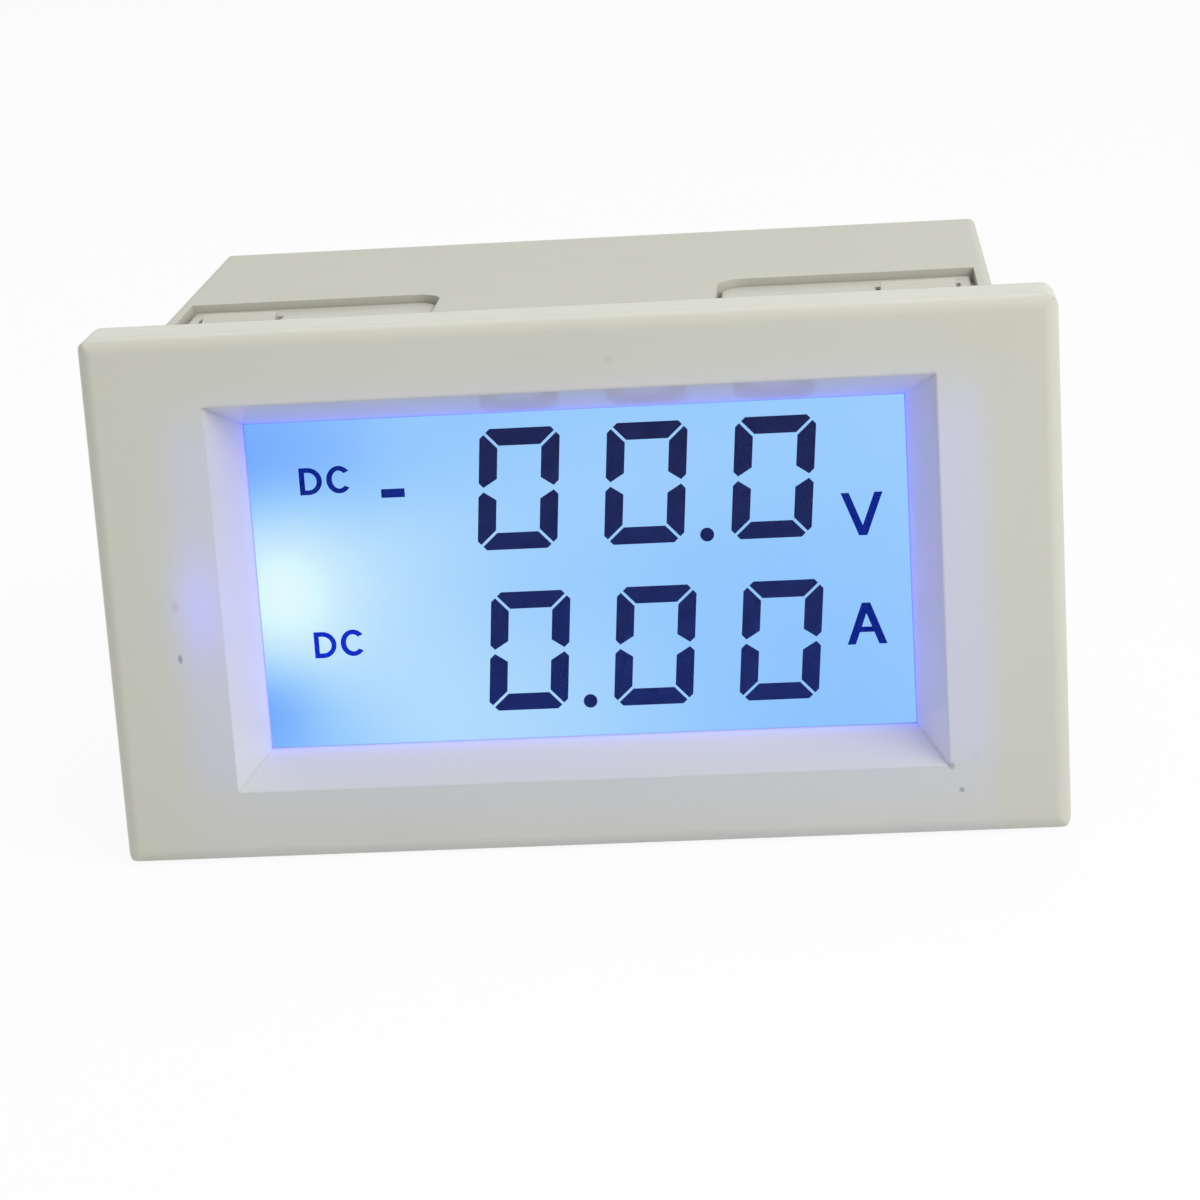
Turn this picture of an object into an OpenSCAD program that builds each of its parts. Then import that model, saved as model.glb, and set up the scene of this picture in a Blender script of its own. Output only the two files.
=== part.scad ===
// Digital panel meter with a two-row backlit liquid crystal display.
// Origin: centre of the bezel's rear face, which seats on the panel.
// +X is to the right of someone reading the display, +Y goes into the panel
// and +Z is up. All sizes are in millimetres.

/* [Front bezel] */
// Width of the bezel
bezel_w = 79; // [66:1:96]
// Height of the bezel
bezel_h = 45; // [38:1:56]
// Depth of the bezel in front of the panel
bezel_t = 5; // [4.2:0.1:6.5]
// Thickness of the bezel's front wall
face_t = 1.8; // [1.2:0.1:2.4]
// Radius of the bezel's corners, seen from the front
bezel_corner_r = 1.3; // [0.8:0.1:3]
// Radius along the bezel's front edge
bezel_edge_r = 1.2; // [0.5:0.1:2]

/* [Display window] */
// Plain border from the bezel's side to the window's bevel
border_side = 9.9; // [9:0.1:13]
// Plain border from the bezel's top or bottom to the bevel
border_top = 6; // [5:0.1:8]
// How far the bevel runs in, seen from the front
bevel_run = 2.5; // [1.5:0.1:3]
// How far back the bevel reaches
bevel_depth = 4.4; // [3.6:0.1:5.5]
// Thickness of the sloping wall behind the bevel
bevel_wall = 1.3; // [1:0.1:1.8]

/* [Housing] */
// Length of the housing behind the panel's front
body_l = 42; // [38:1:60]
// How far the bezel overhangs the housing at each side
lip_side = 4.5; // [3.6:0.1:6]
// How far the bezel overhangs the housing at top and bottom
lip_top = 1.5; // [1.2:0.1:3]
// Wall thickness of the housing
wall = 2; // [1.6:0.1:2.6]
// Radius of the housing's outer edges
body_edge_r = 0.8; // [0.4:0.1:1.4]
// How far the housing reaches forward into the bezel
engage = 2.8; // [1.5:0.1:3]

/* [Snap tongues] */
// Thickness of a tongue
tongue_t = 0.6; // [0.5:0.05:0.8]
// How far a tongue's outer face lies below the housing's
tongue_sink = 0.65; // [0.3:0.05:0.7]
// How far a tongue reaches behind the panel's front
tongue_l = 16; // [13:0.5:20]
// Distance of a tongue's inner edge from the middle
tongue_inner = 12.3; // [9:0.1:15]
// Strip of housing left between a tongue and the side
tongue_side = 1.7; // [1.4:0.1:3]
// Radius of a tongue's inner rear corner
tongue_r = 2; // [1:0.1:3]
// Width of a hook
hook_w = 6.3; // [4:0.1:8]
// Length of a hook, front to back
hook_l = 3.4; // [2.5:0.1:4]
// Distance of a hook's outer end from the housing's side
hook_side = 3; // [2.9:0.1:5]

/* [Panel clips] */
// Height of a side clip
clip_h = 12; // [8:1:16]
// Thickness of a side clip's arm
clip_t = 1.3; // [1:0.1:1.8]
// How far a clip's shoulder stands out from the housing
clip_out = 3.4; // [2.8:0.1:3.5]
// Number of steps on a clip, each for another panel thickness
clip_steps = 6; // [3:1:9]

/* [Liquid crystal cell] */
// Thickness of each glass plate
glass_t = 1.1; // [0.7:0.1:1.4]
// Thickness of a polarising film
film_t = 0.2; // [0.15:0.05:0.3]
// Thickness of the seal between the plates
seal_t = 0.15; // [0.1:0.01:0.2]
// Height of the contact ledge at the top and bottom of the front plate
ledge_h = 1.7; // [1.4:0.1:2]
// Wall of the well that holds the cell
well_wall = 1; // [0.8:0.1:1.2]

/* [Segments] */
// Space left of the digits, for the symbols
symbols_w = 18.85; // [14:0.05:20]
// Space right of the digits, for the units
units_w = 7.6; // [5:0.05:9]
// Gap between two digits in a row
digit_gap = 3.9; // [2:0.05:5]
// Space above the upper row
row_top = 1.65; // [1:0.05:3]
// Space below the lower row
row_bottom = 2.05; // [1:0.05:3]
// Space between the rows
row_gap = 3.7; // [2:0.05:6]
// Width of an upright segment
upright_w = 1.5; // [0.8:0.01:1.8]
// Height of a level segment
level_h = 1.43; // [0.8:0.01:1.6]
// Gap between neighbouring segments
segment_gap = 0.25; // [0.1:0.01:0.3]
// Sideways lean of a digit for each unit of height
lean = 0.085; // [0:0.005:0.12]
// Diameter of a decimal point
point_d = 1.15; // [0.8:0.05:1.5]

/* [Backlight] */
// Thickness of the light guide
guide_t = 3.2; // [2.5:0.1:4]
// Thickness of the diffusing film
diffuser_t = 0.3; // [0.2:0.05:0.4]

/* [Circuit boards] */
// Thickness of a circuit board
board_t = 1.6; // [1:0.1:2]
// Distance of the power board from the inside of the rear wall
board_back = 11; // [10:0.5:14]
// Number of pins in each connector between the boards
header_n = 6; // [3:1:8]
// Height of the ribs that carry the display board
rib_h = 2.2; // [1.6:0.1:2.6]

/* [Terminals] */
// Number of terminals
terminal_n = 4; // [2:1:5]
// Distance between terminals
terminal_pitch = 9; // [8.5:0.1:9.2]
// Height of the terminal block
block_h = 16; // [14:0.5:18]
// Thickness of a barrier between terminals
barrier_t = 1.5; // [1.2:0.1:2]
// How far the barriers stand out behind the housing
block_out = 1; // [0:0.1:2]
// Radius of a terminal screw's thread
screw_r = 1.5; // [1.25:0.05:1.75]
// How far a terminal screw backs out
screw_travel = 2; // [1:0.1:2.2]

/* [Trimmers] */
// Width of a trimmer's square body
trimmer_w = 6.6; // [5:0.1:7]
// Radius of a trimmer's rotor
rotor_r = 1.6; // [1:0.05:2]
// Distance of a trimmer from the middle
trimmer_x = 14; // [8:0.5:15]

/* [Fits] */
// Clearance all round between pieces that slot together
fit = 0.2; // [0.1:0.01:0.3]
// Radial clearance of a piece that turns in its hole
turn_fit = 0.05; // [0.02:0.01:0.08]
// Clearance between a piece that moves and what it closes on
rest_gap = 0.3; // [0.2:0.05:0.4]

/* [Hidden] */
$fn = 48;
EPS = 0.01;
CUT = 1;

ABS_WHITE = [0.86, 0.86, 0.8];
BOARD_GREEN = [0.1, 0.35, 0.2];
METAL = [0.75, 0.75, 0.75];
BLACK = [0.08, 0.08, 0.09];

// Housing
body_w = bezel_w - 2 * lip_side;
body_h = bezel_h - 2 * lip_top;
inner_w = body_w - 2 * wall;
inner_h = body_h - 2 * wall;
rear_wall_y = body_l - wall;

// Window: front and rear outlines of the bevel
window_w = bezel_w - 2 * border_side;
window_h = bezel_h - 2 * border_top;
view_w = window_w - 2 * bevel_run;
view_h = window_h - 2 * bevel_run;
cell_y = bevel_depth - bezel_t;
pocket_y = face_t - bezel_t;

// Stack behind the window, front to back
front_glass_y = cell_y + film_t;
seal_y = front_glass_y + glass_t;
rear_glass_y = seal_y + seal_t;
rear_film_y = rear_glass_y + glass_t;
diffuser_y = rear_film_y + film_t;
guide_y = diffuser_y + diffuser_t;
reflector_y = guide_y + guide_t;
board_y = reflector_y + film_t;
board_back_y = board_y + board_t;

// Well and glass, fitted inside the housing
well_w = min(inner_w - 2 * fit, view_w + 9);
well_h = inner_h - 3 * fit;
glass_w = well_w - 2 * well_wall - 2 * fit;
glass_h = well_h - 2 * well_wall - 2 * fit;
rear_glass_h = glass_h - 2 * ledge_h;
film_w = glass_w - 2.4;
film_h = rear_glass_h - 0.2;
seal_w = 0.8;
guide_w = glass_w - 4;
pin_pitch = 2.54;
cell_pins = floor((glass_w - 10) / pin_pitch);
cell_pin_z = glass_h / 2 - ledge_h / 2;

// Boards
display_board_w = inner_w - 2 * fit;
display_board_h = inner_h - 2 * fit;
rib_t = 1.5;
top_rib_h = rib_h - 0.6;
power_board_w = inner_w - 2 * rib_h - 4 * fit;
power_board_h = inner_h - 2 * top_rib_h - 4 * fit;
power_back_y = rear_wall_y - board_back;
power_y = power_back_y - board_t;
header_x = power_board_w / 2 - 6.4;
header_pin = 0.64;
header_hole_r = 0.5;
socket_l = 8.5;
boss_r = 2.8;
boss_x = power_board_w / 2 - boss_r - 1;
boss_z = power_board_h / 2 - boss_r - 0.5;
board_screw_r = 1;

// Terminals
block_w = terminal_n * terminal_pitch + barrier_t;
block_z = block_h / 2 + 1.5 - power_board_h / 2;
block_top_y = body_l + block_out;
plate_t = 0.8;
plate_w = terminal_pitch - barrier_t - 2 * fit;
plate_h = 9;
washer_t = 0.8;
washer_w = 6.4;
head_r = 2.8;
head_h = 2.1;
head_gap = 0.05;
head_y = block_top_y - 0.95 - screw_travel - head_h;
washer_y = head_y - head_gap - washer_t;
base_top_y = washer_y - rest_gap - plate_t;
thread_l = 6;
leg_w = 1.6;
leg_t = 0.7;
leg_z = block_z + plate_h / 2 - leg_t / 2;

// Trimmers
trimmer_z = power_board_h / 2 - trimmer_w / 2 - 1.2;
trimmer_t = 4.9;
rotor_y = power_back_y + 2.6;
rotor_l = 2.7;

// ---------------------------------------------------------------- helpers

// Extrudes an XZ outline from y0 back to y1.
module along_y(y0, y1) {
    translate([0, y1, 0]) rotate([90, 0, 0]) linear_extrude(y1 - y0) children();
}

// Extrudes a YZ outline from x0 to x1.
module along_x(x0, x1) {
    translate([x0, 0, 0]) rotate([90, 0, 90]) linear_extrude(x1 - x0) children();
}

// Extrudes an XY outline from z0 to z1.
module along_z(z0, z1) {
    translate([0, 0, z0]) linear_extrude(z1 - z0) children();
}

// Rectangle centred on the origin with round corners.
module round_rect(w, h, r) {
    square([w - 2 * r, h], center = true);
    square([w, h - 2 * r], center = true);
    for (x = [-1, 1], y = [-1, 1]) {
        translate([x * (w / 2 - r), y * (h / 2 - r)]) circle(r);
    }
}

// Outline, w wide and centred on x, from y = 0 to y = t, with its far corners round.
module far_rounded(w, t, r) {
    translate([-w / 2, 0]) square([w, t - r]);
    translate([-w / 2 + r, 0]) square([w - 2 * r, t]);
    for (x = [-1, 1]) {
        translate([x * (w / 2 - r), t - r]) circle(r);
    }
}

// Block on XZ size w by h, from y = 0 to y = t, with its far edges and long
// edges rounded.
module soft_block(w, h, t, side_r, far_r) {
    intersection() {
        along_y(0, t) round_rect(w, h, side_r);
        along_z(-h, h) far_rounded(w, t, far_r);
        along_x(-w, w) mirror([1, -1]) far_rounded(h, t, far_r);
    }
}

// Flat plate centred on the Y axis.
module plate(w, h, y, t) {
    along_y(y, y + t) square([w, h], center = true);
}

// Rectangular tube centred on the Y axis.
module frame(w, h, t_wall, y0, y1) {
    along_y(y0, y1) difference() {
        square([w, h], center = true);
        square([w - 2 * t_wall, h - 2 * t_wall], center = true);
    }
}

// Four-sided funnel: w0 by h0 at y0, narrowing by run on every side at y1,
// and carried on past both ends by extra.
module funnel(w0, h0, y0, y1, run, extra) {
    slope = run / (y1 - y0);
    a = extra * slope;
    intersection() {
        along_z(-h0, h0) polygon([
            [-w0 / 2 - a, y0 - extra], [w0 / 2 + a, y0 - extra],
            [w0 / 2 - run - a, y1 + extra], [-w0 / 2 + run + a, y1 + extra]]);
        along_x(-w0, w0) polygon([
            [y0 - extra, -h0 / 2 - a], [y0 - extra, h0 / 2 + a],
            [y1 + extra, h0 / 2 - run - a], [y1 + extra, -h0 / 2 + run + a]]);
    }
}

// Repeats its children in the four quarters of the front view.
module quarters() {
    for (x = [0, 1], z = [0, 1]) {
        mirror([x, 0, 0]) mirror([0, 0, z]) children();
    }
}

// Rod along Y.
module rod(r, y0, y1) {
    along_y(y0, y1) circle(r);
}

// ----------------------------------------------------------------- bezel

tongue_float = 0.08;
recess_depth = tongue_sink + tongue_t + tongue_float;
recess_z = body_h / 2 - recess_depth;
tongue_z = recess_z + tongue_float;
tongue_outer = body_w / 2 - tongue_side;
hook_x1 = body_w / 2 - hook_side;
hook_x0 = hook_x1 - hook_w;
hook_y = 9.2;

// XY outline of a tongue, or of its recess when grown by a clearance.
module tongue_outline(y0, grow) {
    x0 = tongue_inner - grow;
    x1 = tongue_outer + grow;
    y1 = tongue_l + grow;
    r = tongue_r + grow;
    translate([x0, y0]) square([x1 - x0, y1 - r - y0]);
    translate([x0 + r, y0]) square([x1 - x0 - r, y1 - y0]);
    translate([x0 + r, y1 - r]) circle(r);
}

// A tongue in the upper right quarter, with the window that takes a hook and a
// chamfer that leads it over the hook's ramp.
module tongue() {
    lead_l = 0.9;
    lead_h = 0.3;
    difference() {
        along_z(tongue_z, tongue_z + tongue_t) difference() {
            tongue_outline(pocket_y - CUT, 0);
            translate([hook_x0 - 2 * fit, hook_y - 2 * fit])
                square([hook_w + 4 * fit, hook_l + 4 * fit]);
        }
        along_x(tongue_inner - CUT, tongue_outer + CUT) polygon([
            [tongue_l - lead_l, tongue_z - EPS], [tongue_l + EPS, tongue_z + lead_h],
            [tongue_l + EPS, tongue_z - EPS]]);
    }
}

// Frame that seats on the panel, with a bevelled window, a well for the
// display and four tongues that clip over the housing.
module front_bezel() {
    pocket_w = body_w + 2 * fit;
    pocket_h = body_h + 2 * fit;
    color(ABS_WHITE) difference() {
        union() {
            difference() {
                mirror([0, 1, 0])
                    soft_block(bezel_w, bezel_h, bezel_t, bezel_corner_r, bezel_edge_r);
                along_y(pocket_y, CUT) round_rect(pocket_w, pocket_h, body_edge_r);
            }
            funnel(window_w + 2 * bevel_wall, window_h + 2 * bevel_wall,
                   -bezel_t, cell_y, bevel_run, 0);
            plate(well_w, well_h, cell_y - 1.2, 1.2);
            frame(well_w, well_h, well_wall, cell_y - EPS, board_y);
            quarters() tongue();
        }
        funnel(window_w, window_h, -bezel_t, cell_y, bevel_run, CUT);
    }
}

// --------------------------------------------------------------- housing

// Ramped hook that a tongue's window drops over.
module hook() {
    low = 0.2;
    high = recess_depth - 0.15;
    along_x(hook_x0, hook_x1) polygon([
        [hook_y, recess_z - EPS], [hook_y, recess_z + low],
        [hook_y + hook_l - 0.5, recess_z + high], [hook_y + hook_l, recess_z + high],
        [hook_y + hook_l, recess_z - EPS]]);
}

// Springy arm moulded on the housing's right side. It slides through the cut-out
// and then holds the panel's rear face with the steps at its free end.
module side_clip() {
    x0 = body_w / 2;
    shoulder_x = x0 + clip_out;
    tip_x = shoulder_x - 1.6;
    root_y = body_l - 5;
    shoulder_y = 9.5;
    tip_y = 2.6;
    step_x = (shoulder_x - tip_x) / clip_steps;
    step_y = (shoulder_y - tip_y) / clip_steps;
    steps = [for (i = [clip_steps:-1:1], outer = [1, 0])
        [tip_x + (i - 1 + outer) * step_x, tip_y + i * step_y]];
    along_z(-clip_h / 2, clip_h / 2) polygon(concat(
        [[x0 - EPS, root_y], [x0 + 0.5, root_y]],
        steps,
        [[tip_x, tip_y], [tip_x - clip_t, tip_y],
         [shoulder_x - clip_t - 0.2, shoulder_y],
         [x0 + 0.6, root_y - 6], [x0 - EPS, root_y - 7]]));
}

// Tub that holds both boards, closed at the rear apart from the terminals.
module rear_housing() {
    vent_w = 1.6;
    vent_h = 14;
    vent_pitch = 3;
    block_cut_w = block_w + 2 * fit;
    block_cut_h = block_h + 2 * fit;
    color(ABS_WHITE) {
        difference() {
            union() {
                translate([0, -engage, 0])
                    soft_block(body_w, body_h, body_l + engage, body_edge_r, body_edge_r);
                for (side = [0, 1]) {
                    mirror([side, 0, 0]) side_clip();
                }
            }
            difference() {
                plate(inner_w, inner_h, -engage - CUT, rear_wall_y + engage + CUT);
                housing_ribs();
                housing_bosses();
            }
            quarters() along_z(recess_z, recess_z + 2 * recess_depth)
                tongue_outline(-engage - CUT, 2 * fit);
            along_y(rear_wall_y - CUT, body_l + CUT) {
                translate([0, block_z]) square([block_cut_w, block_cut_h], center = true);
                for (x = [-1, 1]) {
                    translate([x * trimmer_x, trimmer_z]) circle(rotor_r + fit);
                }
                for (x = [-1, 1], i = [0:2]) {
                    translate([x * (inner_w / 2 - 2.4 - i * vent_pitch), 0])
                        round_rect(vent_w, vent_h, vent_w / 2 - EPS);
                }
            }
            for (x = [-1, 1], z = [-1, 1]) {
                translate([x * boss_x, 0, z * boss_z]) rod(board_screw_r, power_back_y - CUT, rear_wall_y);
            }
        }
        quarters() hook();
    }
}

// Ribs whose front ends carry the display board.
module housing_ribs() {
    rib_z = inner_h / 2 - 6;
    rib_x = inner_w / 2 - 12;
    for (x = [-1, 1], z = [-1, 1]) {
        along_y(board_back_y, body_l) {
            translate([x * (inner_w / 2 - rib_h / 2), z * rib_z])
                square([rib_h + 2 * EPS, rib_t], center = true);
            translate([x * rib_x, z * (inner_h / 2 - top_rib_h / 2)])
                square([rib_t, top_rib_h + 2 * EPS], center = true);
        }
    }
}

// Bosses that carry the power board.
module housing_bosses() {
    for (x = [-1, 1], z = [-1, 1]) {
        translate([x * boss_x, 0, z * boss_z]) rod(boss_r, power_back_y, body_l);
    }
}

// --------------------------------------------------- liquid crystal cell

module front_polariser() {
    color([0.55, 0.6, 0.65, 0.6]) plate(film_w, film_h, cell_y, film_t);
}

module front_glass() {
    color([0.7, 0.85, 0.9, 0.35]) plate(glass_w, glass_h, front_glass_y, glass_t);
}

// Seal that keeps the two plates apart, all round the cell.
module cell_seal() {
    color([0.3, 0.32, 0.35])
        frame(glass_w - 1, rear_glass_h, seal_w, seal_y, rear_glass_y);
}

module rear_glass() {
    color([0.7, 0.85, 0.9, 0.35]) plate(glass_w, rear_glass_h, rear_glass_y, glass_t);
}

module rear_polariser() {
    color([0.55, 0.6, 0.65, 0.6]) plate(film_w, film_h, rear_film_y, film_t);
}

digit_w = (view_w - symbols_w - units_w - 2 * digit_gap) / 3;
digit_h = (view_h - row_top - row_bottom - row_gap) / 2;
digit_pitch = digit_w + digit_gap;
first_digit_x = symbols_w - view_w / 2 + digit_w / 2;
upper_row_z = view_h / 2 - row_top - digit_h / 2;
lower_row_z = row_bottom - view_h / 2 + digit_h / 2;
digit_corner = 0.8;
segment_t = 0.12;

// Leans a point of a digit over to the right.
function leaning(p) = [p[0] + lean * p[1], p[1]];

// Level segment at the top of a digit, mitred at 45 degrees.
module level_segment() {
    w = digit_w / 2;
    h = digit_h / 2;
    c = digit_corner;
    m = segment_gap / sqrt(2);
    polygon([for (p = [
        [-w + (c + m) / 2, h - (c - m) / 2], [-w + c, h], [w - c, h],
        [w - (c + m) / 2, h - (c - m) / 2], [w - level_h - m, h - level_h],
        [-w + level_h + m, h - level_h]]) leaning(p)]);
}

// Upright segment in the upper half of a digit: side -1 is its left, 1 its right.
module upright_segment(side) {
    w = digit_w / 2;
    h = digit_h / 2;
    c = digit_corner;
    m = segment_gap / sqrt(2);
    tip_z = 0.2;
    tip_in = 0.4;
    polygon([for (p = [
        [w, h - c], [w - (c - m) / 2, h - (c + m) / 2], [w - upright_w, h - upright_w - m],
        [w - upright_w, level_h / 2 + tip_z], [w - tip_in, tip_z], [w, tip_z + tip_in]])
        leaning([side * p[0], p[1]])]);
}

// The six outer segments that show a nought.
module nought() {
    for (turn = [0, 180]) {
        rotate(turn) {
            level_segment();
            upright_segment(-1);
            upright_segment(1);
        }
    }
}

// One row of three noughts with a point after the given digit.
module digit_row(z, point_after) {
    for (i = [0:2]) {
        translate([first_digit_x + i * digit_pitch, z]) nought();
    }
    translate([first_digit_x + (point_after + 0.5) * digit_pitch - lean * digit_h / 2,
               z - digit_h / 2 + point_d * 0.45]) circle(point_d / 2);
}

// Dark segments of both rows and the minus sign.
module display_segments() {
    minus_w = 1.95;
    minus_h = 0.72;
    color([0.12, 0.12, 0.35]) along_y(rear_glass_y - segment_t, rear_glass_y) {
        digit_row(upper_row_z, 1);
        digit_row(lower_row_z, 0);
        translate([symbols_w - view_w / 2 - 7.15, upper_row_z + 0.1])
            square([minus_w, minus_h], center = true);
    }
}

// Spring pins that grip the front plate's ledges and run back to the board.
module display_pins() {
    pin_w = 0.5;
    pin_t = 0.2;
    edge = glass_h / 2;
    color(METAL) for (z = [0, 1], i = [0:cell_pins - 1]) {
        x = (i - (cell_pins - 1) / 2) * pin_pitch;
        mirror([0, 0, z]) along_x(x - pin_w / 2, x + pin_w / 2) {
            translate([cell_y, edge - 0.9]) square([pin_t, 1.05]);
            translate([cell_y, edge]) square([seal_y + pin_t - cell_y, 0.15]);
            translate([seal_y, cell_pin_z - 0.15]) square([pin_t, edge - cell_pin_z + 0.3]);
            translate([seal_y, cell_pin_z - 0.15]) square([board_back_y + 1.2 - seal_y, 0.3]);
        }
    }
}

// ------------------------------------------------------------- backlight

module diffuser_film() {
    color([0.95, 0.97, 1, 0.7]) plate(film_w, film_h, diffuser_y, diffuser_t);
}

// Clear plate that spreads the light, with a notch for the lamp.
module light_guide() {
    color([0.8, 0.9, 1, 0.5]) difference() {
        plate(guide_w, film_h, guide_y, guide_t);
        along_y(guide_y - CUT, reflector_y + CUT)
            translate([-guide_w / 2, 0]) round_rect(1.6, led_z + 2 * fit, 0.3);
    }
}

module reflector_film() {
    color([0.95, 0.95, 0.95]) plate(guide_w, film_h, reflector_y, film_t);
}

led_z = 3.6;
led_x = 1.7;

// Side-shining lamp at the left edge of the light guide.
module backlight_led() {
    x0 = -guide_w / 2 - led_x + 0.7;
    color([0.92, 0.92, 0.9]) {
        along_y(guide_y + 0.4, board_y) translate([x0 + led_x / 2 - 0.35, 0])
            square([led_x - 0.7, led_z], center = true);
        along_y(guide_y + 0.8, board_y - 0.5) translate([x0 + led_x - 0.7, 0])
            intersection() {
                circle(0.65);
                translate([0, -1]) square(2);
            }
    }
}

// ---------------------------------------------------------------- boards

// Places a pattern at every pin of both connectors.
module at_header_pins() {
    for (x = [-1, 1], i = [0:header_n - 1]) {
        translate([x * header_x, (i - (header_n - 1) / 2) * pin_pitch]) children();
    }
}

module display_board() {
    color(BOARD_GREEN) along_y(board_y, board_back_y) difference() {
        square([display_board_w, display_board_h], center = true);
        at_header_pins() circle(header_hole_r);
        for (z = [-1, 1], i = [0:cell_pins - 1]) {
            translate([(i - (cell_pins - 1) / 2) * pin_pitch, z * cell_pin_z]) circle(0.4);
        }
    }
}

module power_board() {
    color(BOARD_GREEN) along_y(power_y, power_back_y) difference() {
        square([power_board_w, power_board_h], center = true);
        at_header_pins() circle(header_hole_r);
        for (x = [-1, 1], z = [-1, 1]) {
            translate([x * boss_x, z * boss_z]) circle(board_screw_r + 2 * fit);
        }
        for (i = [1:terminal_n]) {
            translate([terminal_x(i), leg_z]) circle(leg_w / 2 + fit);
        }
        at_lead_holes() circle(lead_r + fit / 2);
    }
}

// Gull-wing leads along one side of a chip, on the board's rear face.
module chip_leads(n, pitch, half, reach, height) {
    lead_w = pitch * 0.45;
    for (i = [0:n - 1]) {
        x = (i - (n - 1) / 2) * pitch;
        along_x(x - lead_w / 2, x + lead_w / 2) polygon([
            [height / 2, half - 0.1], [height / 2 + 0.15, half - 0.1],
            [height / 2 + 0.15, half + 0.3], [0.15, half + 0.5], [0.15, half + reach],
            [0, half + reach], [0, half + 0.35], [height / 2, half + 0.15]]);
    }
}

// Meter chip: a square package with leads on all four sides.
module meter_chip() {
    chip_w = 10;
    chip_t = 1.4;
    lift = 0.1;
    color(BLACK) translate([-9, board_back_y, 3]) {
        translate([0, lift, 0]) difference() {
            plate(chip_w, chip_w, 0, chip_t);
            translate([-3.6, 0, 3.6]) rod(0.6, chip_t - 0.1, chip_t + CUT);
        }
        for (turn = [0:90:270]) {
            rotate([0, turn, 0]) chip_leads(11, 0.8, chip_w / 2, 1, chip_t);
        }
    }
}

// Small package with leads on two sides.
module amplifier_chip() {
    color(BLACK) translate([8, board_back_y, 3]) {
        plate(4.9, 3.9, 0.1, 1.4);
        for (turn = [0, 180]) {
            rotate([0, turn, 0]) chip_leads(4, 1.27, 3.9 / 2, 1.05, 1.4);
        }
    }
}

// Square pins that join the two boards.
module header_pins() {
    color([0.8, 0.7, 0.4]) along_y(board_y + 0.2, power_back_y + 1)
        at_header_pins() square(header_pin, center = true);
}

module header_strip(y0, y1, w) {
    strip_h = header_n * pin_pitch;
    color(BLACK) along_y(y0, y1) difference() {
        for (x = [-1, 1]) {
            translate([x * header_x, 0]) square([w, strip_h], center = true);
        }
        at_header_pins() square(header_pin + 0.1, center = true);
    }
}

module header_bases() {
    header_strip(board_back_y, board_back_y + 2.5, 2.5);
}

module header_sockets() {
    header_strip(power_y - socket_l, power_y, 2.5);
}

// Self-tapping screws that hold the power board on its bosses.
module board_screws() {
    screw_head_r = 2.3;
    screw_head_h = 1.5;
    color(METAL) for (x = [-1, 1], z = [-1, 1]) {
        translate([x * boss_x, 0, z * boss_z]) difference() {
            union() {
                rod(screw_head_r, power_y - screw_head_h, power_y);
                rod(board_screw_r - turn_fit, power_y - EPS, power_back_y + 6);
            }
            cross_recess(1.4, 0.55, power_y - screw_head_h - CUT, power_y - screw_head_h + 0.9);
        }
    }
}

// Cross-shaped driver recess from y0 to y1.
module cross_recess(reach, w, y0, y1) {
    along_y(y0, y1) {
        square([2 * reach, w], center = true);
        square([w, 2 * reach], center = true);
    }
}

// ------------------------------------------------------------- terminals

function terminal_x(i) = (i - (terminal_n + 1) / 2) * terminal_pitch;

// Insulating block with a barrier at each side of every terminal.
module terminal_block() {
    color(BLACK) translate([0, 0, block_z]) difference() {
        union() {
            along_y(power_back_y, base_top_y) square([block_w, block_h], center = true);
            for (i = [0:terminal_n]) {
                translate([terminal_x(i + 0.5), 0, 0])
                    along_x(-barrier_t / 2, barrier_t / 2) barrier_outline();
            }
        }
        for (i = [1:terminal_n]) {
            translate([terminal_x(i), 0, 0]) {
                rod(screw_r + turn_fit, base_top_y - thread_l, base_top_y + CUT);
                translate([0, 0, leg_z - block_z])
                    plate(leg_w + 0.1, leg_t + 0.1, power_back_y - CUT, base_top_y - power_back_y + 2 * CUT);
                plate(plate_w, plate_h + 0.1, base_top_y - 0.3, CUT);
            }
        }
    }
}

// YZ outline of a barrier, with chamfered outer corners.
module barrier_outline() {
    c = 1.2;
    h = block_h / 2;
    polygon([
        [base_top_y - EPS, -h], [block_top_y - c, -h], [block_top_y, -h + c],
        [block_top_y, h - c], [block_top_y - c, h], [base_top_y - EPS, h]]);
}

// Contact plates, each with a leg that goes down through the block to the board.
module contact_plates() {
    seat_y = base_top_y - 0.3;
    color([0.8, 0.76, 0.6]) for (i = [1:terminal_n]) {
        translate([terminal_x(i), 0, 0]) difference() {
            union() {
                translate([0, 0, block_z]) plate(plate_w, plate_h, seat_y, plate_t + 0.3);
                translate([0, 0, leg_z]) plate(leg_w, leg_t, power_y - 1, seat_y - power_y + 1 + EPS);
            }
            translate([0, 0, block_z]) rod(screw_r + turn_fit, seat_y - CUT, seat_y + 2 * CUT + plate_t);
        }
    }
}

// Square washer that clamps the wire under a terminal screw.
module clamp_washer(i) {
    color(METAL) translate([terminal_x(i), 0, block_z]) difference() {
        along_y(washer_y, washer_y + washer_t) round_rect(washer_w, washer_w, 0.6);
        rod(screw_r + 3 * turn_fit, washer_y - CUT, washer_y + washer_t + CUT);
    }
}

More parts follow.
